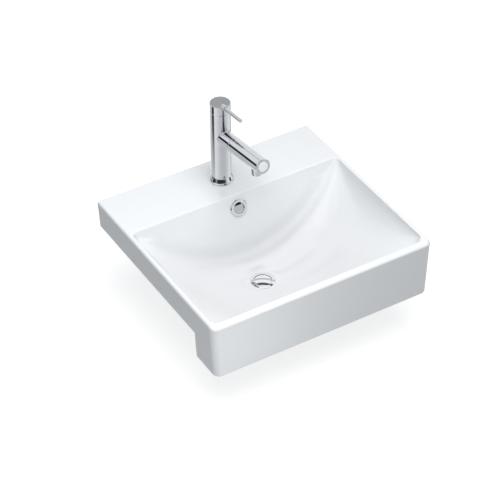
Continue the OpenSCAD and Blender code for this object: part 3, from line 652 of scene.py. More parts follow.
def paint_bowl_shade(material, colour):
    """Lets the colour drift to a greyer one towards the bowl's floor."""
    tree = material.node_tree
    place = join_up(tree, "ShaderNodeTexCoord").outputs["Object"]
    x, y, z = (value / MM for value in split(tree, place))
    inside = x.do("ABSOLUTE").minus_from(BOWL["Half Width"])
    inside = inside.least(y - BOWL["Front"]).least(y.minus_from(BOWL["Back"]))
    deep = (z.minus_from(BOWL_SHADE_TOP) / BOWL_SHADE_DEPTH).most(0).least(1)
    share = (inside / BOWL_SHADE_EDGE).most(0).least(1) * deep
    base = shader_of(material).inputs["Base Color"]
    fill(tree, base, join_up(tree, "ShaderNodeMix", {
        "Factor": share, "A": base.links[0].from_socket, "B": (*colour, 1)}, data_type="RGBA"
    ).outputs["Result"])


# Painted shade: greyer glaze deep in the bowl, where its walls keep light from the floor.
paint_bowl_shade(glaze, (0.68, 0.688, 0.7))
print("painted bowl shade starts below", BOWL_SHADE_TOP, "mm above the counter")

# %% [markdown]
# ## The hollow and the shell as solids
# The tree gives an open sheet in millimetres. To cut with it, it needs a lid and a floor, which are added
# here, and metres. The lid of the hollow stands a little over the rim and is a hair wider, so that the cut is
# clean.

# %% Close the bowl's sheets
LID_SPREAD = 0.1 / BOWL["Half Width"]
def bowl_solid(name, growth, lip_round, lid):
    """Closed solid from the bowl's sheet, with its lid at that height."""
    mesh = grown(name, bowl_nodes, {"Growth": growth, "Lip Round": lip_round})
    bm = bmesh.new()
    bm.from_mesh(mesh)
    bmesh.ops.remove_doubles(bm, verts=bm.verts, dist=0.01)
    top = max(v.co.z for v in bm.verts)
    rim = [e for e in bm.edges if e.is_boundary and all(v.co.z > top - 0.001 for v in e.verts)]
    raised = bmesh.ops.extrude_edge_only(bm, edges=rim)["geom"]
    for v in (g for g in raised if isinstance(g, bmesh.types.BMVert)):
        v.co.z = lid
        v.co.x *= 1 + LID_SPREAD * lip_round
    bmesh.ops.holes_fill(bm, edges=[e for e in bm.edges if e.is_boundary])
    bmesh.ops.recalc_face_normals(bm, faces=bm.faces)
    bmesh.ops.scale(bm, vec=(MM, MM, MM), verts=bm.verts)
    bm.to_mesh(mesh)
    open_edges = sum(e.is_boundary for e in bm.edges)
    bm.free()
    print(f"{name}: {open_edges} open edges")
    return helper(name, mesh)


# %% [markdown]
# ## The ceramic
# On the real basin the walls are cast in plaster, with soft edges all round. The block is a stack of
# outlines, each a little wider than the one below, and the last of them turn in over the rim as its round
# edge, further at the front than at the sides. The block is cut away behind the counter's edge and hollowed
# from below, and its other edges are rounded while they are still simple.

# %% Cutters
def box_cutter(x, y, z, place=Matrix()):
    """Box from lowest to highest x, y and z, in millimetres."""
    corners = ((0, 0), (1, 0), (1, 1), (0, 1))
    return cutter(skin([[place @ Vector((x[i], y[j], height)) for i, j in corners] for height in z], caps=True))


def rod_cutter(r, low, high, place=Matrix(), sides=128):
    return cutter(lathe([(0, low), (r, low), (r, high), (0, high)], place, sides))


def soften_edges(obj, width, below=1e9):
    """Rounds the sharp outer edges of an object's mesh that lie below a height."""
    bm = bmesh.new()
    bm.from_mesh(obj.data)
    sharp = [e for e in bm.edges if len(e.link_faces) == 2 and e.is_convex
             and e.calc_face_angle() > radians(40) and all(v.co.z < below * MM for v in e.verts)]
    bmesh.ops.bevel(bm, geom=sharp, offset=width * MM, segments=6, profile=0.5, affect="EDGES",
                    clamp_overlap=True)
    bm.to_mesh(obj.data)
    bm.free()
    print(f"{obj.name}: {len(sharp)} edges rounded by {width} mm")


# %% Block with soft edges
HALF_WIDTH, SIDE_DRAFT, FOOT_Z = 280, 7, -68
FRONT_Y, FRONT_R, REAR_Y, REAR_R = -500, 16, 15, 6
TOP_ROUND, FRONT_SHARE, ROUND_STEPS, CORNER_STEPS = 7.5, 1.6, 8, 16
HOLLOWS = {
    "behind the counter's edge": ((-400, 400), (-415, 100), (-100, 0)),
    "behind the apron": ((-263, 263), (-490, -410), (-100, 28.8)),
    "under the deck": ((-246.4, 246.4), (-102.4, -15), (-10, 60)),
}


def plan_ring(z, inset=0):
    """The basin's outline from above at a height, with rounded corners, drawn in by the inset."""
    half = HALF_WIDTH - SIDE_DRAFT + SIDE_DRAFT * (z - FOOT_Z) / (DECK - FOOT_Z) - inset
    front, rear = FRONT_Y + FRONT_SHARE * inset, REAR_Y - inset
    points = []
    for side, y, r, a in ((1, front, FRONT_R, -90), (1, rear, REAR_R, 0),
                          (-1, rear, REAR_R, 90), (-1, front, FRONT_R, 180)):
        r = max(r - inset, 0.05)
        cx, cy = side * (half - r), y + (r if y < 0 else -r)
        for k in range(CORNER_STEPS + 1):
            t = radians(a + 90 * k / CORNER_STEPS)
            points.append(Vector((cx + r * cos(t), cy + r * sin(t), z)))
    return points


rings = [plan_ring(FOOT_Z)]
for step in range(ROUND_STEPS + 1):
    t = pi / 2 * step / ROUND_STEPS
    rings.append(plan_ring(DECK - TOP_ROUND * (1 - sin(t)), TOP_ROUND * (1 - cos(t))))
basin = helper("basin", mesh_of("basin", [skin(rings, caps=True)]))
for box in HOLLOWS.values():
    carve(basin, box_cutter(*box))
soften_edges(basin, 2.2, 60.5)

# %% [markdown]
# ## Join the shell and cut the bowl
# The bowl's shell, the overflow duct and the outlet are joined on, and the bowl, the bores and the holes are
# cut. The manifold solver gives a closed solid whenever both of its inputs are closed, and it keeps the fine
# rings of the bowl as they are. The tools overlap what they join by a few millimetres, because faces that
# only touch leave slivers. The shell ends below the rim's round edge, so that none of it pokes out there.

# %% The overflow's duct
DUCT_R, DUCT_OUT, DUCT_DEEP, DUCT_LOW = 9, 16, 20, -124
KNEE, SHORT_OF_WASTE = 1.01, 17.5
lean = radians(LEAN)
duct_top = overflow.translation + Vector((0, DUCT_DEEP * cos(lean), -DUCT_DEEP * sin(lean)))
duct_low = Vector((0, duct_top.y - (duct_top.z - DUCT_LOW) * BACK_LEAN, DUCT_LOW))
duct_fall, duct_reach = (duct_top.z - DUCT_LOW) / cos(lean), duct_low.y - WASTE_Y
falling = Matrix.Translation(duct_top) @ along_y(180 - LEAN)
level_run = Matrix.Translation(duct_low) @ along_y(90)


def duct(r, sides, short=0):
    """The duct's leaning run, its knee and its level run."""
    ball = [(KNEE * r * sin(pi * k / 24), -KNEE * r * cos(pi * k / 24)) for k in range(25)]
    return [
        rod_cutter(r, 0, duct_fall, falling, sides),
        cutter(lathe(ball, Matrix.Translation(duct_low), sides)),
        rod_cutter(r, 0, duct_reach - short, level_run, sides),
    ]


print("the duct falls", round(duct_fall), "mm and runs", round(duct_reach), "mm to the waste")

# %% Join and cut the ceramic
WALL, SHELL_TOP = 10, 64
BORES = {
    "waste outlet": (22.5, -152, -90, waste),
    "seat of the flange": (28.5, -107.5, -99.5, waste),
    "tap hole": (17.5, 50, 90, tap),
    "overflow hole": (15, -20, 10, overflow),
}
shell = bowl_solid("bowl shell", WALL, 1, DECK)
carve(shell, box_cutter((-300, 300), (-520, 20), (-200, SHELL_TOP)), "INTERSECT")
duct_web = box_cutter((-DUCT_OUT, DUCT_OUT), (0, 15), (0, duct_fall), falling)
outlet_boss = rod_cutter(32.5, -149, -104, waste)
for part in (shell, *duct(DUCT_OUT, 64, SHORT_OF_WASTE), duct_web, outlet_boss):
    carve(basin, part, "UNION")
hollow = bowl_solid("bowl hollow", 0, BOWL["Lip Round"], DECK + 2)
for part in (hollow, *duct(DUCT_R, 48), *(rod_cutter(*bore) for bore in BORES.values())):
    carve(basin, part)
print("ceramic after the cuts:", len(basin.data.polygons), "faces")

# %% [markdown]
# ## Glaze, clay and painted shade on the ceramic
# Each face takes its finish from its place: clay where it rests in the kiln, near-black painted shade in the
# overflow's channels and glaze elsewhere. The normals of the large flat faces are weighted, so that the deck
# stays flat to the eye right up to its round edges.

# %% Finish the ceramic
channels = [(place.inverted(), *sizes) for place, *sizes in (
    (overflow, 15.3, -21, -1), (falling, 9.3, -1, duct_fall + 9), (level_run, 9.3, -9, duct_reach - 20))]
REST_HEIGHTS = (0, -149)


def in_channel(point):
    """Whether a point in millimetres lies in the overflow's bore or duct."""
    for place, r, low, high in channels:
        x, y, z = place @ point
        if x * x + y * y < r * r and low < z < high:
            return True
    return False


basin.data.materials.clear()
for material in (glaze, clay, duct_painted_shade):
    basin.data.materials.append(material)
for face in basin.data.polygons:
    centre = face.center / MM
    resting = face.normal.z < -0.99 and min(abs(centre.z - z) for z in REST_HEIGHTS) < 0.3
    # Faces in the overflow's bore and duct take the near-black painted shade.
    face.material_index = 1 if resting else 2 if in_channel(centre) else 0
piece("glazed_basin", basin, "basin", None, "basin_body", 35)

# %% [markdown]
# ## The tap body: a column that grows a branch
# The spout's branch leaves the column in a small rounded throat, as if a ball had rolled round the joint. A
# boolean gives a hard crease there. The throat is worked out instead: for each point round the branch, the
# ball's centre stands one ball radius from both cylinders, and the arc between its two contacts is the
# throat. The rest of the column is one patch from the throat's edge to the column's ends, all of it on the
# cylinder. The pull-out head grows its outlet boss in the same way, so the helper serves both.

# %% Cylinder with a branch
TEE_SIDES, PATCH_ROWS, THROAT_STEPS, CROWDING = 320, 26, 8, 1.35


def turn_of(point):
    """Angle of a point round Z, 0 towards -Y."""
    return -Vector((0, -1)).angle_signed(Vector((point.x, point.y)))


def rim_hit(at, r, low, high, angle):
    """Turn and height where a ray from the branch's middle leaves the unrolled cylinder."""
    dx, dz = cos(angle), sin(angle)
    reach_x = pi * r / max(abs(dx), 1e-9)
    reach_z = (high - at if dz > 0 else at - low) / max(abs(dz), 1e-9)
    if reach_x <= reach_z:
        return (pi if dx > 0 else -pi), at + dz * reach_x
    return dx * reach_z / r, (high if dz > 0 else low)


def on_column(r, turn, z):
    return Vector((r * sin(turn), -r * cos(turn), z))


def tee(column_r, branch_r, ball, tilt, at, low, high, reach, low_end, high_end, branch_end):
    """Shapes of a cylinder on Z whose branch leaves towards -Y at the height at. The ends are profiles."""
    lean_cos, lean_sin = cos(radians(tilt)), sin(radians(tilt))
    along, over = Vector((0, -lean_cos, lean_sin)), Vector((0, lean_sin, lean_cos))
    angles = [2 * pi * k / TEE_SIDES for k in range(TEE_SIDES)]
    spokes = [Vector((cos(angle), 0, 0)) + over * sin(angle) for angle in angles]
    throat, centre_r = [], branch_r + ball
    for angle, spoke in zip(angles, spokes):
        wide = centre_r * cos(angle)
        s = (centre_r * sin(angle) * lean_sin + sqrt((column_r + ball) ** 2 - wide ** 2)) / lean_cos
        centre = Vector((0, 0, at)) + along * s + spoke * centre_r
        inward = Vector((-centre.x, -centre.y, 0)).normalized()
        throat.append([centre + inward.slerp(-spoke, i / THROAT_STEPS) * ball for i in range(THROAT_STEPS + 1)])
    hole = [(turn_of(arc[0]), arc[0].z) for arc in throat]
    edge = [rim_hit(at, column_r, low, high, angle) for angle in angles]
    for corner in ((pi, high), (-pi, high), (-pi, low), (pi, low)):
        away = [abs(turn - corner[0]) * column_r + abs(z - corner[1]) for turn, z in edge]
        edge[away.index(min(away))] = corner
    patch = []
    for i in range(PATCH_ROWS + 1):
        share = (i / PATCH_ROWS) ** CROWDING
        patch.append([on_column(column_r, t0 + (t1 - t0) * share, z0 + (z1 - z0) * share)
                      for (t0, z0), (t1, z1) in zip(hole, edge)])
    branch = [list(row) for row in zip(*throat)]
    for r, s in [(branch_r, reach), *branch_end]:
        middle = Vector((0, 0, at)) + along * s
        branch.append([middle + spoke * r for spoke in spokes] if r else [middle])
    shapes = [skin(patch), skin(branch)]
    for end, profile in ((high, high_end), (low, low_end)):
        turns = sorted({round(turn, 9) for turn, z in edge if z == end and turn > -pi})
        shapes.append(skin([[on_column(r, turn, z) for turn in turns] if r else [Vector((0, 0, z))]
                            for r, z in [(column_r, end), *profile]]))
    return shapes


def tee_piece(name, place, body, node, **sizes):
    """Chromed piece from a cylinder with a branch, set in its place."""
    shapes = [([place @ point for point in points], faces) for points, faces in tee(**sizes)]
    return piece(name, mesh_of(name, shapes), body, chrome, node)


# %% The tap's column
COLUMN_R, SPOUT_R, COLUMN_FOOT, COLUMN_TOP = 23.5, 18, 73, 264
tee_piece(
    "tap_column", tap, "basin", "tap_body",
    column_r=COLUMN_R, branch_r=SPOUT_R, ball=2.5, tilt=SPOUT_RISE, at=SPOUT_Z, low=COLUMN_FOOT,
    high=COLUMN_TOP, reach=61.6,
    low_end=[(16.1, COLUMN_FOOT), (16.1, 97), (0, 97)],
    high_end=[(23.1, 264.4), (20, 264.4), (20, 256.4), (18, 256.4), (18, 230.4), (0, 230.4)],
    branch_end=[(17.6, 62), (15, 62), (15, 32), (0, 32)],
)

# %% [markdown]
# ## The pull-out head
# The head is a tube that carries on the branch's line, with the outlet boss near its end. In its own frame
# the boss leaves towards -Y, so the same helper makes it. A thin step of the docking ring parts it from the
# branch.

# %% Head and rings
HEAD_END, BUTTON_R = 182, 11.75
tee_piece(
    "spout_tube", spout, "head", "spout_head",
    column_r=SPOUT_R, branch_r=12, ball=3, tilt=0, at=OUTLET_ALONG, low=63.7, high=HEAD_END, reach=31.2,
    low_end=[(17.6, 63.3), (14, 63.3), (14, 120), (0, 120)],
    high_end=[(14, HEAD_END), (14, 170), (0, 170)],
    branch_end=[(11.2, 32), (10.5, 32), (10.5, 22.5), (0, 22.5)],
)
turned("docking_ring", spout, "basin", chrome, "dock_ring", [
    (12.5, 62, 0), (17.6, 62, 0.3), (17.6, 63, 0.3), (12.5, 63, 0)], steps=3)
turned("end_bezel", spout, "head", chrome, "end_ring", [
    (11.85, HEAD_END, 0), (SPOUT_R, HEAD_END, 0), (SPOUT_R, 185, 1.5), (13.2, 185, 0.8), (12.6, 184.2, 0.3),
    (11.85, 184.2, 0.2)])
turned("spray_button", spout, "button", button_white, "end_button", [
    (0, 179.4, 0), (13.25, 179.4, 0), (13.25, 181.4, 0.2), (BUTTON_R, 181.4, 0.2), (BUTTON_R, 185, 0.7),
    (0, 185.4, 0)])

# %% [markdown]
# ## Cap, lever and bead
# The cap is turned with a barely crowned top, which a studio light needs to fade across it. Its underside is
# hollowed to a ball round the lever's pivot, so that it clears the column's top as it tips. The rod is
# screwed into a short round boss.

# %% Cap, lever and bead
PIVOT_Z, SWEEP_R = 253, 26.15
under = [(SWEEP_R * sin(radians(a)), PIVOT_Z + SWEEP_R * cos(radians(a))) for a in range(0, 61, 5)]
top = soften([(COLUMN_R, 265, 0), (COLUMN_R, 285.85, 1.2), (0, 286, 0)])
cap = helper("cap", mesh_of("cap", [lathe(under + [(23.23, 265)] + top, tap)]))
boss = soften([(0, -1, 0), (6, -1, 0), (6, 13, 1.4), (4.5, 13, 0.3), (4.5, 12, 0), (0, 12, 0)])
carve(cap, cutter(lathe(boss, lever, 64)), "UNION")
piece("lever_cap", cap, "handle", chrome, "handle_cap")
turned("lever_pin", lever, "handle", chrome, "lever_rod", [
    (0, 0, 0), (4.33, 0, 0), (4.33, 78, 0.9), (0, 78, 0)], 64)
turned("foot_bead", tap, "basin", chrome, "tap_base_ring", [
    (23.55, COLUMN_FOOT, 0), (26.4, COLUMN_FOOT, 0.3), (26.4, 75.3, 0.3), (27.25, 75.6, 0.3), (27.25, 78.5, 4),
    (23.8, 88.2, 0.7), (23.55, 90, 0)])

# %% [markdown]
# ## Threads by geometry nodes
# A screw thread is a profile that climbs one pitch a turn, the plainest case of a shape that follows a path.
# The tree rolls a grid into a tube and pulls its points in by a triangle wave of height and turn. Both ends
# fade to the root, so that the tube's ends are true circles that the turned ends can join.

# %% The thread's tree
THREAD_SIDES, THREAD_ROWS = 72, 260
FLANK, FLAT = 3.2, 0.3


def thread_tree():
    tree, n, out = new_tree("thread", {"Crest": 20.95, "Deep": 0.7, "Pitch": 2.3, "Low": 0, "High": 10})
    grid, row, turn = unit_grid(tree, THREAD_ROWS, THREAD_SIDES)
    height = n["Low"].mix(n["High"], row)
    phase = (height / n["Pitch"] - turn).do("FRACT")
    wave = ((phase - 0.5).do("ABSOLUTE") * FLANK - FLAT).most(0).least(1)
    near_end = ((height - n["Low"]).least(n["High"] - height) / n["Pitch"]).least(1)
    r = n["Crest"] - n["Deep"] * (wave * near_end).minus_from(1)
    angle = turn * (2 * pi)
    tube = placed(tree, grid, r * angle.do("COSINE"), r * angle.do("SINE"), height)
    merged = join_up(tree, "GeometryNodeMergeByDistance", {"Geometry": tube, "Distance": 0.001})
    finish_tree(tree, out, merged, chrome)
    return tree


def grown_shape(name, tree, sizes, place):
    """Shape that a tree makes for these sizes, set in its place."""
    mesh = grown(name, tree, sizes)
    shape = [place @ v.co for v in mesh.vertices], [list(face.vertices) for face in mesh.polygons]
    bpy.data.meshes.remove(mesh)
    return shape


def threaded(name, place, sizes, ends):
    """Mesh of a threaded tube: the thread from the tree, and the turned ends that join its two rims."""
    thread = grown_shape(f"{name} thread", thread_nodes, sizes, place)
    return mesh_of(name, [thread, skin([ring(r, z, place, THREAD_SIDES) for r, z in ends])])


thread_nodes = thread_tree()
print("the thread's tree has", len(thread_nodes.nodes), "nodes")

# %% [markdown]
# ## The waste
# The chromed flange is pressed against the bowl from above, and the threaded tube below takes the nut. Four
# slots let the overflow's water in, and a cross with a hub holds the push plug. The thread and the turned
# ends are welded into one closed solid before the slots are cut.

# %% Waste body
FLANGE_UNDER, WASTE_FOOT = -106, -192
waste_ends = [(20.25, FLANGE_UNDER)] + soften([
    (28, FLANGE_UNDER, 0.2), (28, -101.4, 1.3), (22, -100, 0.4), (22, -104.3, 0), (17.5, -104.3, 0.3),
    (17.5, WASTE_FOOT, 0.3)]) + [(20.25, WASTE_FOOT)]
waste_tube = helper("waste", threaded("waste", waste, {
    "Crest": 20.95, "Deep": 0.7, "Pitch": 2.3, "Low": WASTE_FOOT, "High": FLANGE_UNDER}, waste_ends))
for angle in (0, 90, 180, 270):
    carve(waste_tube, box_cutter((15, 26), (-7, 7), (-132, -116), waste @ about_z(angle)))
for angle in (0, 120, 240):
    carve(waste_tube, box_cutter((0, 18.5), (-2, 2), (-148, -140), waste @ about_z(angle)), "UNION")
carve(waste_tube, rod_cutter(8, -148, -140, waste, 48), "UNION")
carve(waste_tube, rod_cutter(5.6, -150, -138, waste, 48))
# The waste's tube takes the lighter chrome, a painted brighter reflection.
piece("waste_tube", waste_tube, "basin", chrome_painted_brighter, "waste_body")

# %% Plug, nuts and shank
CROWN_Z, CROWN_FALL, CHAMFER = -99.4, 0.0041, 1.6
crown = [(r, CROWN_Z - CROWN_FALL * r * r) for r in range(20, -1, -2)]
plug_under = soften([(0, -107.5, 0), (6, -107.5, 0.4), (6, -102.5, 0), (21, -102.5, 0.3), (21, -101.6, 0.4)])
plug_mesh = mesh_of("plug", [lathe(plug_under[:-1] + [(20.7, -101.3)] + crown, waste)])
# The plug takes the lighter chrome, a painted brighter reflection.
piece("plug", plug_mesh, "plug", chrome_painted_brighter, "plug_cap")


def nut(name, flats, bore, low, high, place, node):
    """Hexagon nut with chamfered corners and a softened bore."""
    corner = flats / 2 / cos(pi / 6)
    prism = helper(name, mesh_of(name, [skin([ring(corner, z, place, 6) for z in (low, high)], caps=True)]))
    face_r, blank_r = flats / 2 + 0.2, corner + 0.3
    blank = soften([(bore, low, 0.6), (face_r, low, 0), (blank_r, low + CHAMFER, 0),
                    (blank_r, high - CHAMFER, 0), (face_r, high, 0), (bore, high, 0.6)], 3)
    carve(prism, cutter(lathe(blank, place, 96)), "INTERSECT")
    return piece(name, prism, "basin", brass, node)


nut("waste_backnut", 56, 21.05, -168, -157, waste, "waste_nut")
nut("shank_backnut", 44, 16.1, 46, 55, tap, "shank_nut")
shank_mesh = threaded("shank", tap, {"Crest": 16, "Deep": 0.6, "Pitch": 1.5, "Low": 10, "High": 96.9},
                      [(15.4, 96.9), (13, 96.9), (13, 10), (15.4, 10)])
piece("threaded_shank", shank_mesh, "basin", brass, "tap_shank")

# %% [markdown]
# ## The overflow's trim
# A chromed bezel frames the hole. Its face is a rounded band that runs into a short sleeve. Inside it a disc
# slopes inwards to a straight upper edge, where the water enters, and has a small weep hole at its foot.

# %% Overflow bezel and disc
turned("overflow_bezel", overflow, "basin", chrome, "overflow_ring", [
    (13.7, -8, 0.2), (14.9, -8, 0.2), (14.9, 1, 0), (21, 1, 0.4), (21, 3.5, 2.1), (13.7, 3.5, 0.9)])
DISC_SLOPE, DISC_TOP, WEEP_Y = 14, 4.6, -10.6
disc = rod_cutter(13.6, -18, 18, overflow)
slope = overflow @ on_axis(0, -2) @ along_y(-DISC_SLOPE)
carve(disc, box_cutter((-42, 42), (-42, DISC_TOP), (0, 1.5), slope), "INTERSECT")
carve(disc, rod_cutter(1.1, -18, 18, overflow @ on_axis(WEEP_Y, 0), 32))
soften_edges(disc, 0.35)
piece("overflow_disc", disc, "basin", chrome, "overflow_plate", 50)

# %% [markdown]
# ## The outlet grid and the springs by geometry nodes
# The grid in the outlet is a disc with rings of small holes. Cylinders are scattered on circles as instances,
# and one boolean in the tree takes them all out. The two springs are wire swept along a spiral.

# %% Grid and spring trees
HOLES_IN_RINGS = (1, 6, 12, 18)


def grid_tree():
    tree, n, out = new_tree("outlet grid", {"Disc": 8.9, "Thick": 7.3, "Hole": 0.8, "Ring Step": 2.1})
    disc = join_up(tree, "GeometryNodeMeshCylinder", {"Vertices": 96, "Radius": n["Disc"], "Depth": n["Thick"]})
    hole = join_up(tree, "GeometryNodeMeshCylinder", {
        "Vertices": 16, "Radius": n["Hole"], "Depth": n["Thick"] * 1.4})
    joined = tree.nodes.new("GeometryNodeJoinGeometry")
    fill(tree, joined.inputs[0], join_up(tree, "GeometryNodeMeshLine", {"Count": 1}))
    for step, count in list(enumerate(HOLES_IN_RINGS))[1:]:
        fill(tree, joined.inputs[0], join_up(tree, "GeometryNodeMeshCircle", {
            "Vertices": count, "Radius": n["Ring Step"] * step}))
    holes = join_up(tree, "GeometryNodeInstanceOnPoints", {"Points": joined, "Instance": hole})
    real = join_up(tree, "GeometryNodeRealizeInstances", {"Geometry": holes})
    cut = join_up(tree, "GeometryNodeMeshBoolean", {"Mesh 1": disc, "Mesh 2": real},
                  operation="DIFFERENCE", solver="EXACT")
    finish_tree(tree, out, cut, grid_grey)
    return tree


def spring_tree():
    tree, n, out = new_tree("spring", {"Coil": 4, "Wire": 0.4, "Turns": 8, "Length": 20})
    spiral = join_up(tree, "GeometryNodeCurveSpiral", {
        "Resolution": 28, "Rotations": n["Turns"], "Start Radius": n["Coil"], "End Radius": n["Coil"],
        "Height": n["Length"]})
    wire = join_up(tree, "GeometryNodeCurvePrimitiveCircle", {"Resolution": 12, "Radius": n["Wire"]})
    swept = join_up(tree, "GeometryNodeCurveToMesh", {
        "Curve": spiral, "Profile Curve": wire, "Fill Caps": True})
    finish_tree(tree, out, swept, steel)
    return tree


def grown_piece(name, tree, sizes, place, body, material, node):
    """Piece from a tree, set in its place."""
    return piece(name, mesh_of(name, [grown_shape(name, tree, sizes, place)]), body, material, node)


grown_piece("outlet_grid", grid_tree(), {}, outlet @ on_axis(0, 27.75), "head", grid_grey,
            "aerator_insert")
spring_nodes = spring_tree()
grown_piece("click_coil", spring_nodes, {"Coil": 3.9, "Wire": 0.4, "Turns": 8, "Length": 18.9},
            waste @ on_axis(0, -165.4), "basin", steel, "click_spring")
grown_piece("button_coil", spring_nodes, {"Coil": 5, "Wire": 0.5, "Turns": 6, "Length": 16.2},
            spout @ on_axis(0, 160.6), "head", steel, "button_spring")

# %% [markdown]
# ## Finishes for the pieces that stay as they are
# Seals, washers and the cartridge keep their solids, because those are plain turned or moulded shapes. Each
# only needs its finish.

# %% Dress the other nodes
KEPT = {
    chrome: ["pivot_pin", "lever_stem", "aerator_housing"],
    brass: ["plug_stem", "cartridge_nut", "selector_stem"],
    steel: ["shank_washer", "grub_screw"],
    rubber: ["overflow_seal", "waste_top_gasket", "waste_bottom_gasket", "plug_seal", "tap_base_gasket",
             "shank_gasket", "cartridge_seals", "head_seal", "aerator_gasket"],
    plastic: ["waste_washer", "click_cartridge", "cartridge_body", "cartridge_rotor", "dock_sleeve",
              "head_core"],
    alumina: ["fixed_disc", "moving_disc"],
}
for material, names in KEPT.items():
    for name in names:
        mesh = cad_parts[name].data
        mesh.materials.clear()
        mesh.materials.append(material)
print("nodes dressed:", sum(len(names) for names in KEPT.values()))

# %% [markdown]
# ## The studio: a pale floor
# A white object on white needs light that is even but not flat. The floor is a plain grey that takes the soft
# shadow and throws little light back up at the sides. To the camera it glows a little as well, so that it
# reads as white paper outside the shadow.

# %% Floor
FLOOR_Z, FLOOR_HALF, FLOOR_GLOW = -192.5, 9000, 0.78
paper_floor = finish("pale floor", (0.34, 0.34, 0.34), Roughness=0.9, Specular_IOR_Level=0,
                     Emission_Color=(1, 1, 1, 1))
tree = paper_floor.node_tree
seen = Number(tree, join_up(tree, "ShaderNodeLightPath").outputs["Is Camera Ray"])
fill(tree, shader_of(paper_floor).inputs["Emission Strength"], seen * FLOOR_GLOW)
corners = [(x * FLOOR_HALF, y * FLOOR_HALF, FLOOR_Z) for x, y in ((-1, -1), (1, -1), (1, 1), (-1, 1))]
floor = helper("floor", mesh_of("floor", [(corners, [[0, 1, 2, 3]])]))
floor.data.materials.append(paper_floor)
floor.visible_glossy = False
floor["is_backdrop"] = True
print("floor at", floor.data.vertices[0].co.z, "m")

# %% [markdown]
# ## The studio: what chrome mirrors
# The sky lights the object evenly. Chrome shows its form only by what it mirrors, and an even white room
# would leave it flat, so a photographer hangs black and grey cards round the set. Here the cards are part of
# the far backdrop: each is a patch of directions, by its bearing from the front and its height in degrees,
# with soft edges, and only reflections see it. White fills the rest of the room.

# %% Sky and cards
SKY_COLOUR, SKY_STRENGTH = (0.8, 0.91, 1, 1), 0.36
WHITE, CARD_BLACK = (1, 1, 1, 1), (0, 0.006, 0.014, 1)
SOFTEST_SILL = 4
CARDS = (
    # bearing, half width, low, high, darkness, softness
    (-119, 17, -38, -14, 0.97, 1.5),
    (-152, 20, -70, -14, 0.35, 8),
    (118, 17, -70, -16, 0.55, 5),
    (-5, 75, -70, -14, 0.33, 45),
    (-10, 110, -3, 9, 0.97, 3),
    (-75, 42, -14, 0, 0.97, 3),
    (85, 35, -14, 0, 0.97, 3),
    (-147, 26, -14, 9, 0.97, 2),
    (-5, 42, 18.6, 68, 0.97, 6),
    (160, 42, 31.5, 39, 0.5, 2),
    (150, 50, 46.5, 57, 0.95, 2),
)
world = bpy.data.worlds.new("studio")
bpy.context.scene.world = world
world.use_nodes = True
tree = world.node_tree
to_x, to_y, to_z = split(tree, join_up(tree, "ShaderNodeTexCoord").outputs["Generated"])
level = (to_x * to_x + to_y * to_y) ** 0.5


def card(bearing, half_width, low, high, darkness, softness):
    """Darkness of a soft-edged card in the direction that is looked at."""
    sill = radians(min(softness, SOFTEST_SILL))
    facing = (to_x * sin(radians(bearing)) - to_y * cos(radians(bearing))) / level
    sideways = (facing - cos(radians(half_width))) / (sin(radians(half_width)) * radians(softness))
    above = (to_z - sin(radians(low))) / sill
    below = (to_z - sin(radians(high))) / -sill
    return sideways.most(0).least(1) * above.most(0).least(1) * below.most(0).least(1) * darkness


dark = card(*CARDS[0])
for values in CARDS[1:]:
    dark = dark.most(card(*values))
room = join_up(tree, "ShaderNodeMix", {"Factor": dark, "A": WHITE, "B": CARD_BLACK}, data_type="RGBA")
print("cards in the backdrop:", len(CARDS))

# %% [markdown]
# ## The studio: who sees what
# The world shows each kind of ray its own picture: plain sky for soft light, the room with its cards for
# reflections, and white paper for the camera. Reflections leave out the ceramic and what lies under it,
# because its fittings would show up in the chrome around them.

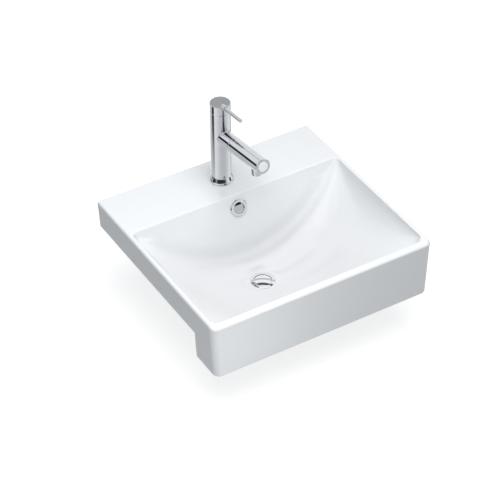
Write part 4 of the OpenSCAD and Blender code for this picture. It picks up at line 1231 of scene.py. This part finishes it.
# %% Rays
sky = join_up(tree, "ShaderNodeBackground", {"Color": SKY_COLOUR, "Strength": SKY_STRENGTH})
backdrop = join_up(tree, "ShaderNodeBackground", {"Color": room.outputs["Result"], "Strength": 1})
paper = join_up(tree, "ShaderNodeBackground", {"Color": WHITE, "Strength": 1})
rays = join_up(tree, "ShaderNodeLightPath")
straight = Number(tree, rays.outputs["Is Camera Ray"]).most(Number(tree, rays.outputs["Is Transmission Ray"]))
view = sky
for share, picture in ((rays.outputs["Is Glossy Ray"], backdrop), (straight, paper)):
    both = join_up(tree, "ShaderNodeMixShader", {"Fac": share})
    fill(tree, both.inputs[1], view)
    fill(tree, both.inputs[2], picture)
    view = both
fill(tree, tree.nodes["World Output"].inputs["Surface"], view)
UNDER_CERAMIC = ["overflow_seal", "waste_top_gasket", "waste_bottom_gasket", "waste_washer", "click_cartridge",
                 "plug_stem", "shank_gasket", "shank_washer"]
UNMIRRORED = [basin] + [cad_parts[name] for name in UNDER_CERAMIC]
UNMIRRORED += [bpy.data.objects[name] for name in ("waste_backnut", "shank_backnut", "threaded_shank",
                                                   "click_coil")]
for obj in UNMIRRORED:
    obj.visible_glossy = False
print("left out of reflections:", len(UNMIRRORED), "pieces")

# %% [markdown]
# ## The studio: lamps
# One large lamp, high in front, gives the deck its brightness and reaches the back wall of the bowl. A small
# weak one low at the left lifts the front face there, and fades along it. Reflections see the cards and not
# the lamps.

# %% Lamps
LAMPS = {
    # place, point looked at, size, power, colour
    "key lamp": ((-0.25, -1.0, 2.5), (0, -0.2, 0), 2.2, 78, (1, 0.98, 0.965)),
    "low lamp": ((-0.28, -0.78, 0), (-0.24, -0.5, 0.01), 0.25, 0.32, (1, 1, 1)),
}
for name, (place, target, size, power, colour) in LAMPS.items():
    light = bpy.data.lights.new(name, "AREA")
    light.size, light.energy, light.color = size, power, colour
    lamp = bpy.data.objects.new(name, light)
    lamp.location = place
    lamp.rotation_euler = (Vector(target) - Vector(place)).to_track_quat("-Z", "Y").to_euler()
    lamp.visible_glossy = lamp.visible_camera = False
    bpy.context.scene.collection.objects.link(lamp)
print("lamps:", ", ".join(LAMPS))

# %% [markdown]
# ## Sizes
# The dressed part is meant to fill the same box as its solids, so the last line prints how far each corner of
# its box lies from theirs, in millimetres.

# %% Print the sizes
visual_box = [list(corner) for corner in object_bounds()]
for low_high, cad, visual in zip(("low", "high"), cad_box, visual_box):
    print(low_high, [round((v - c) / MM, 2) for c, v in zip(cad, visual)], "mm from the CAD box")
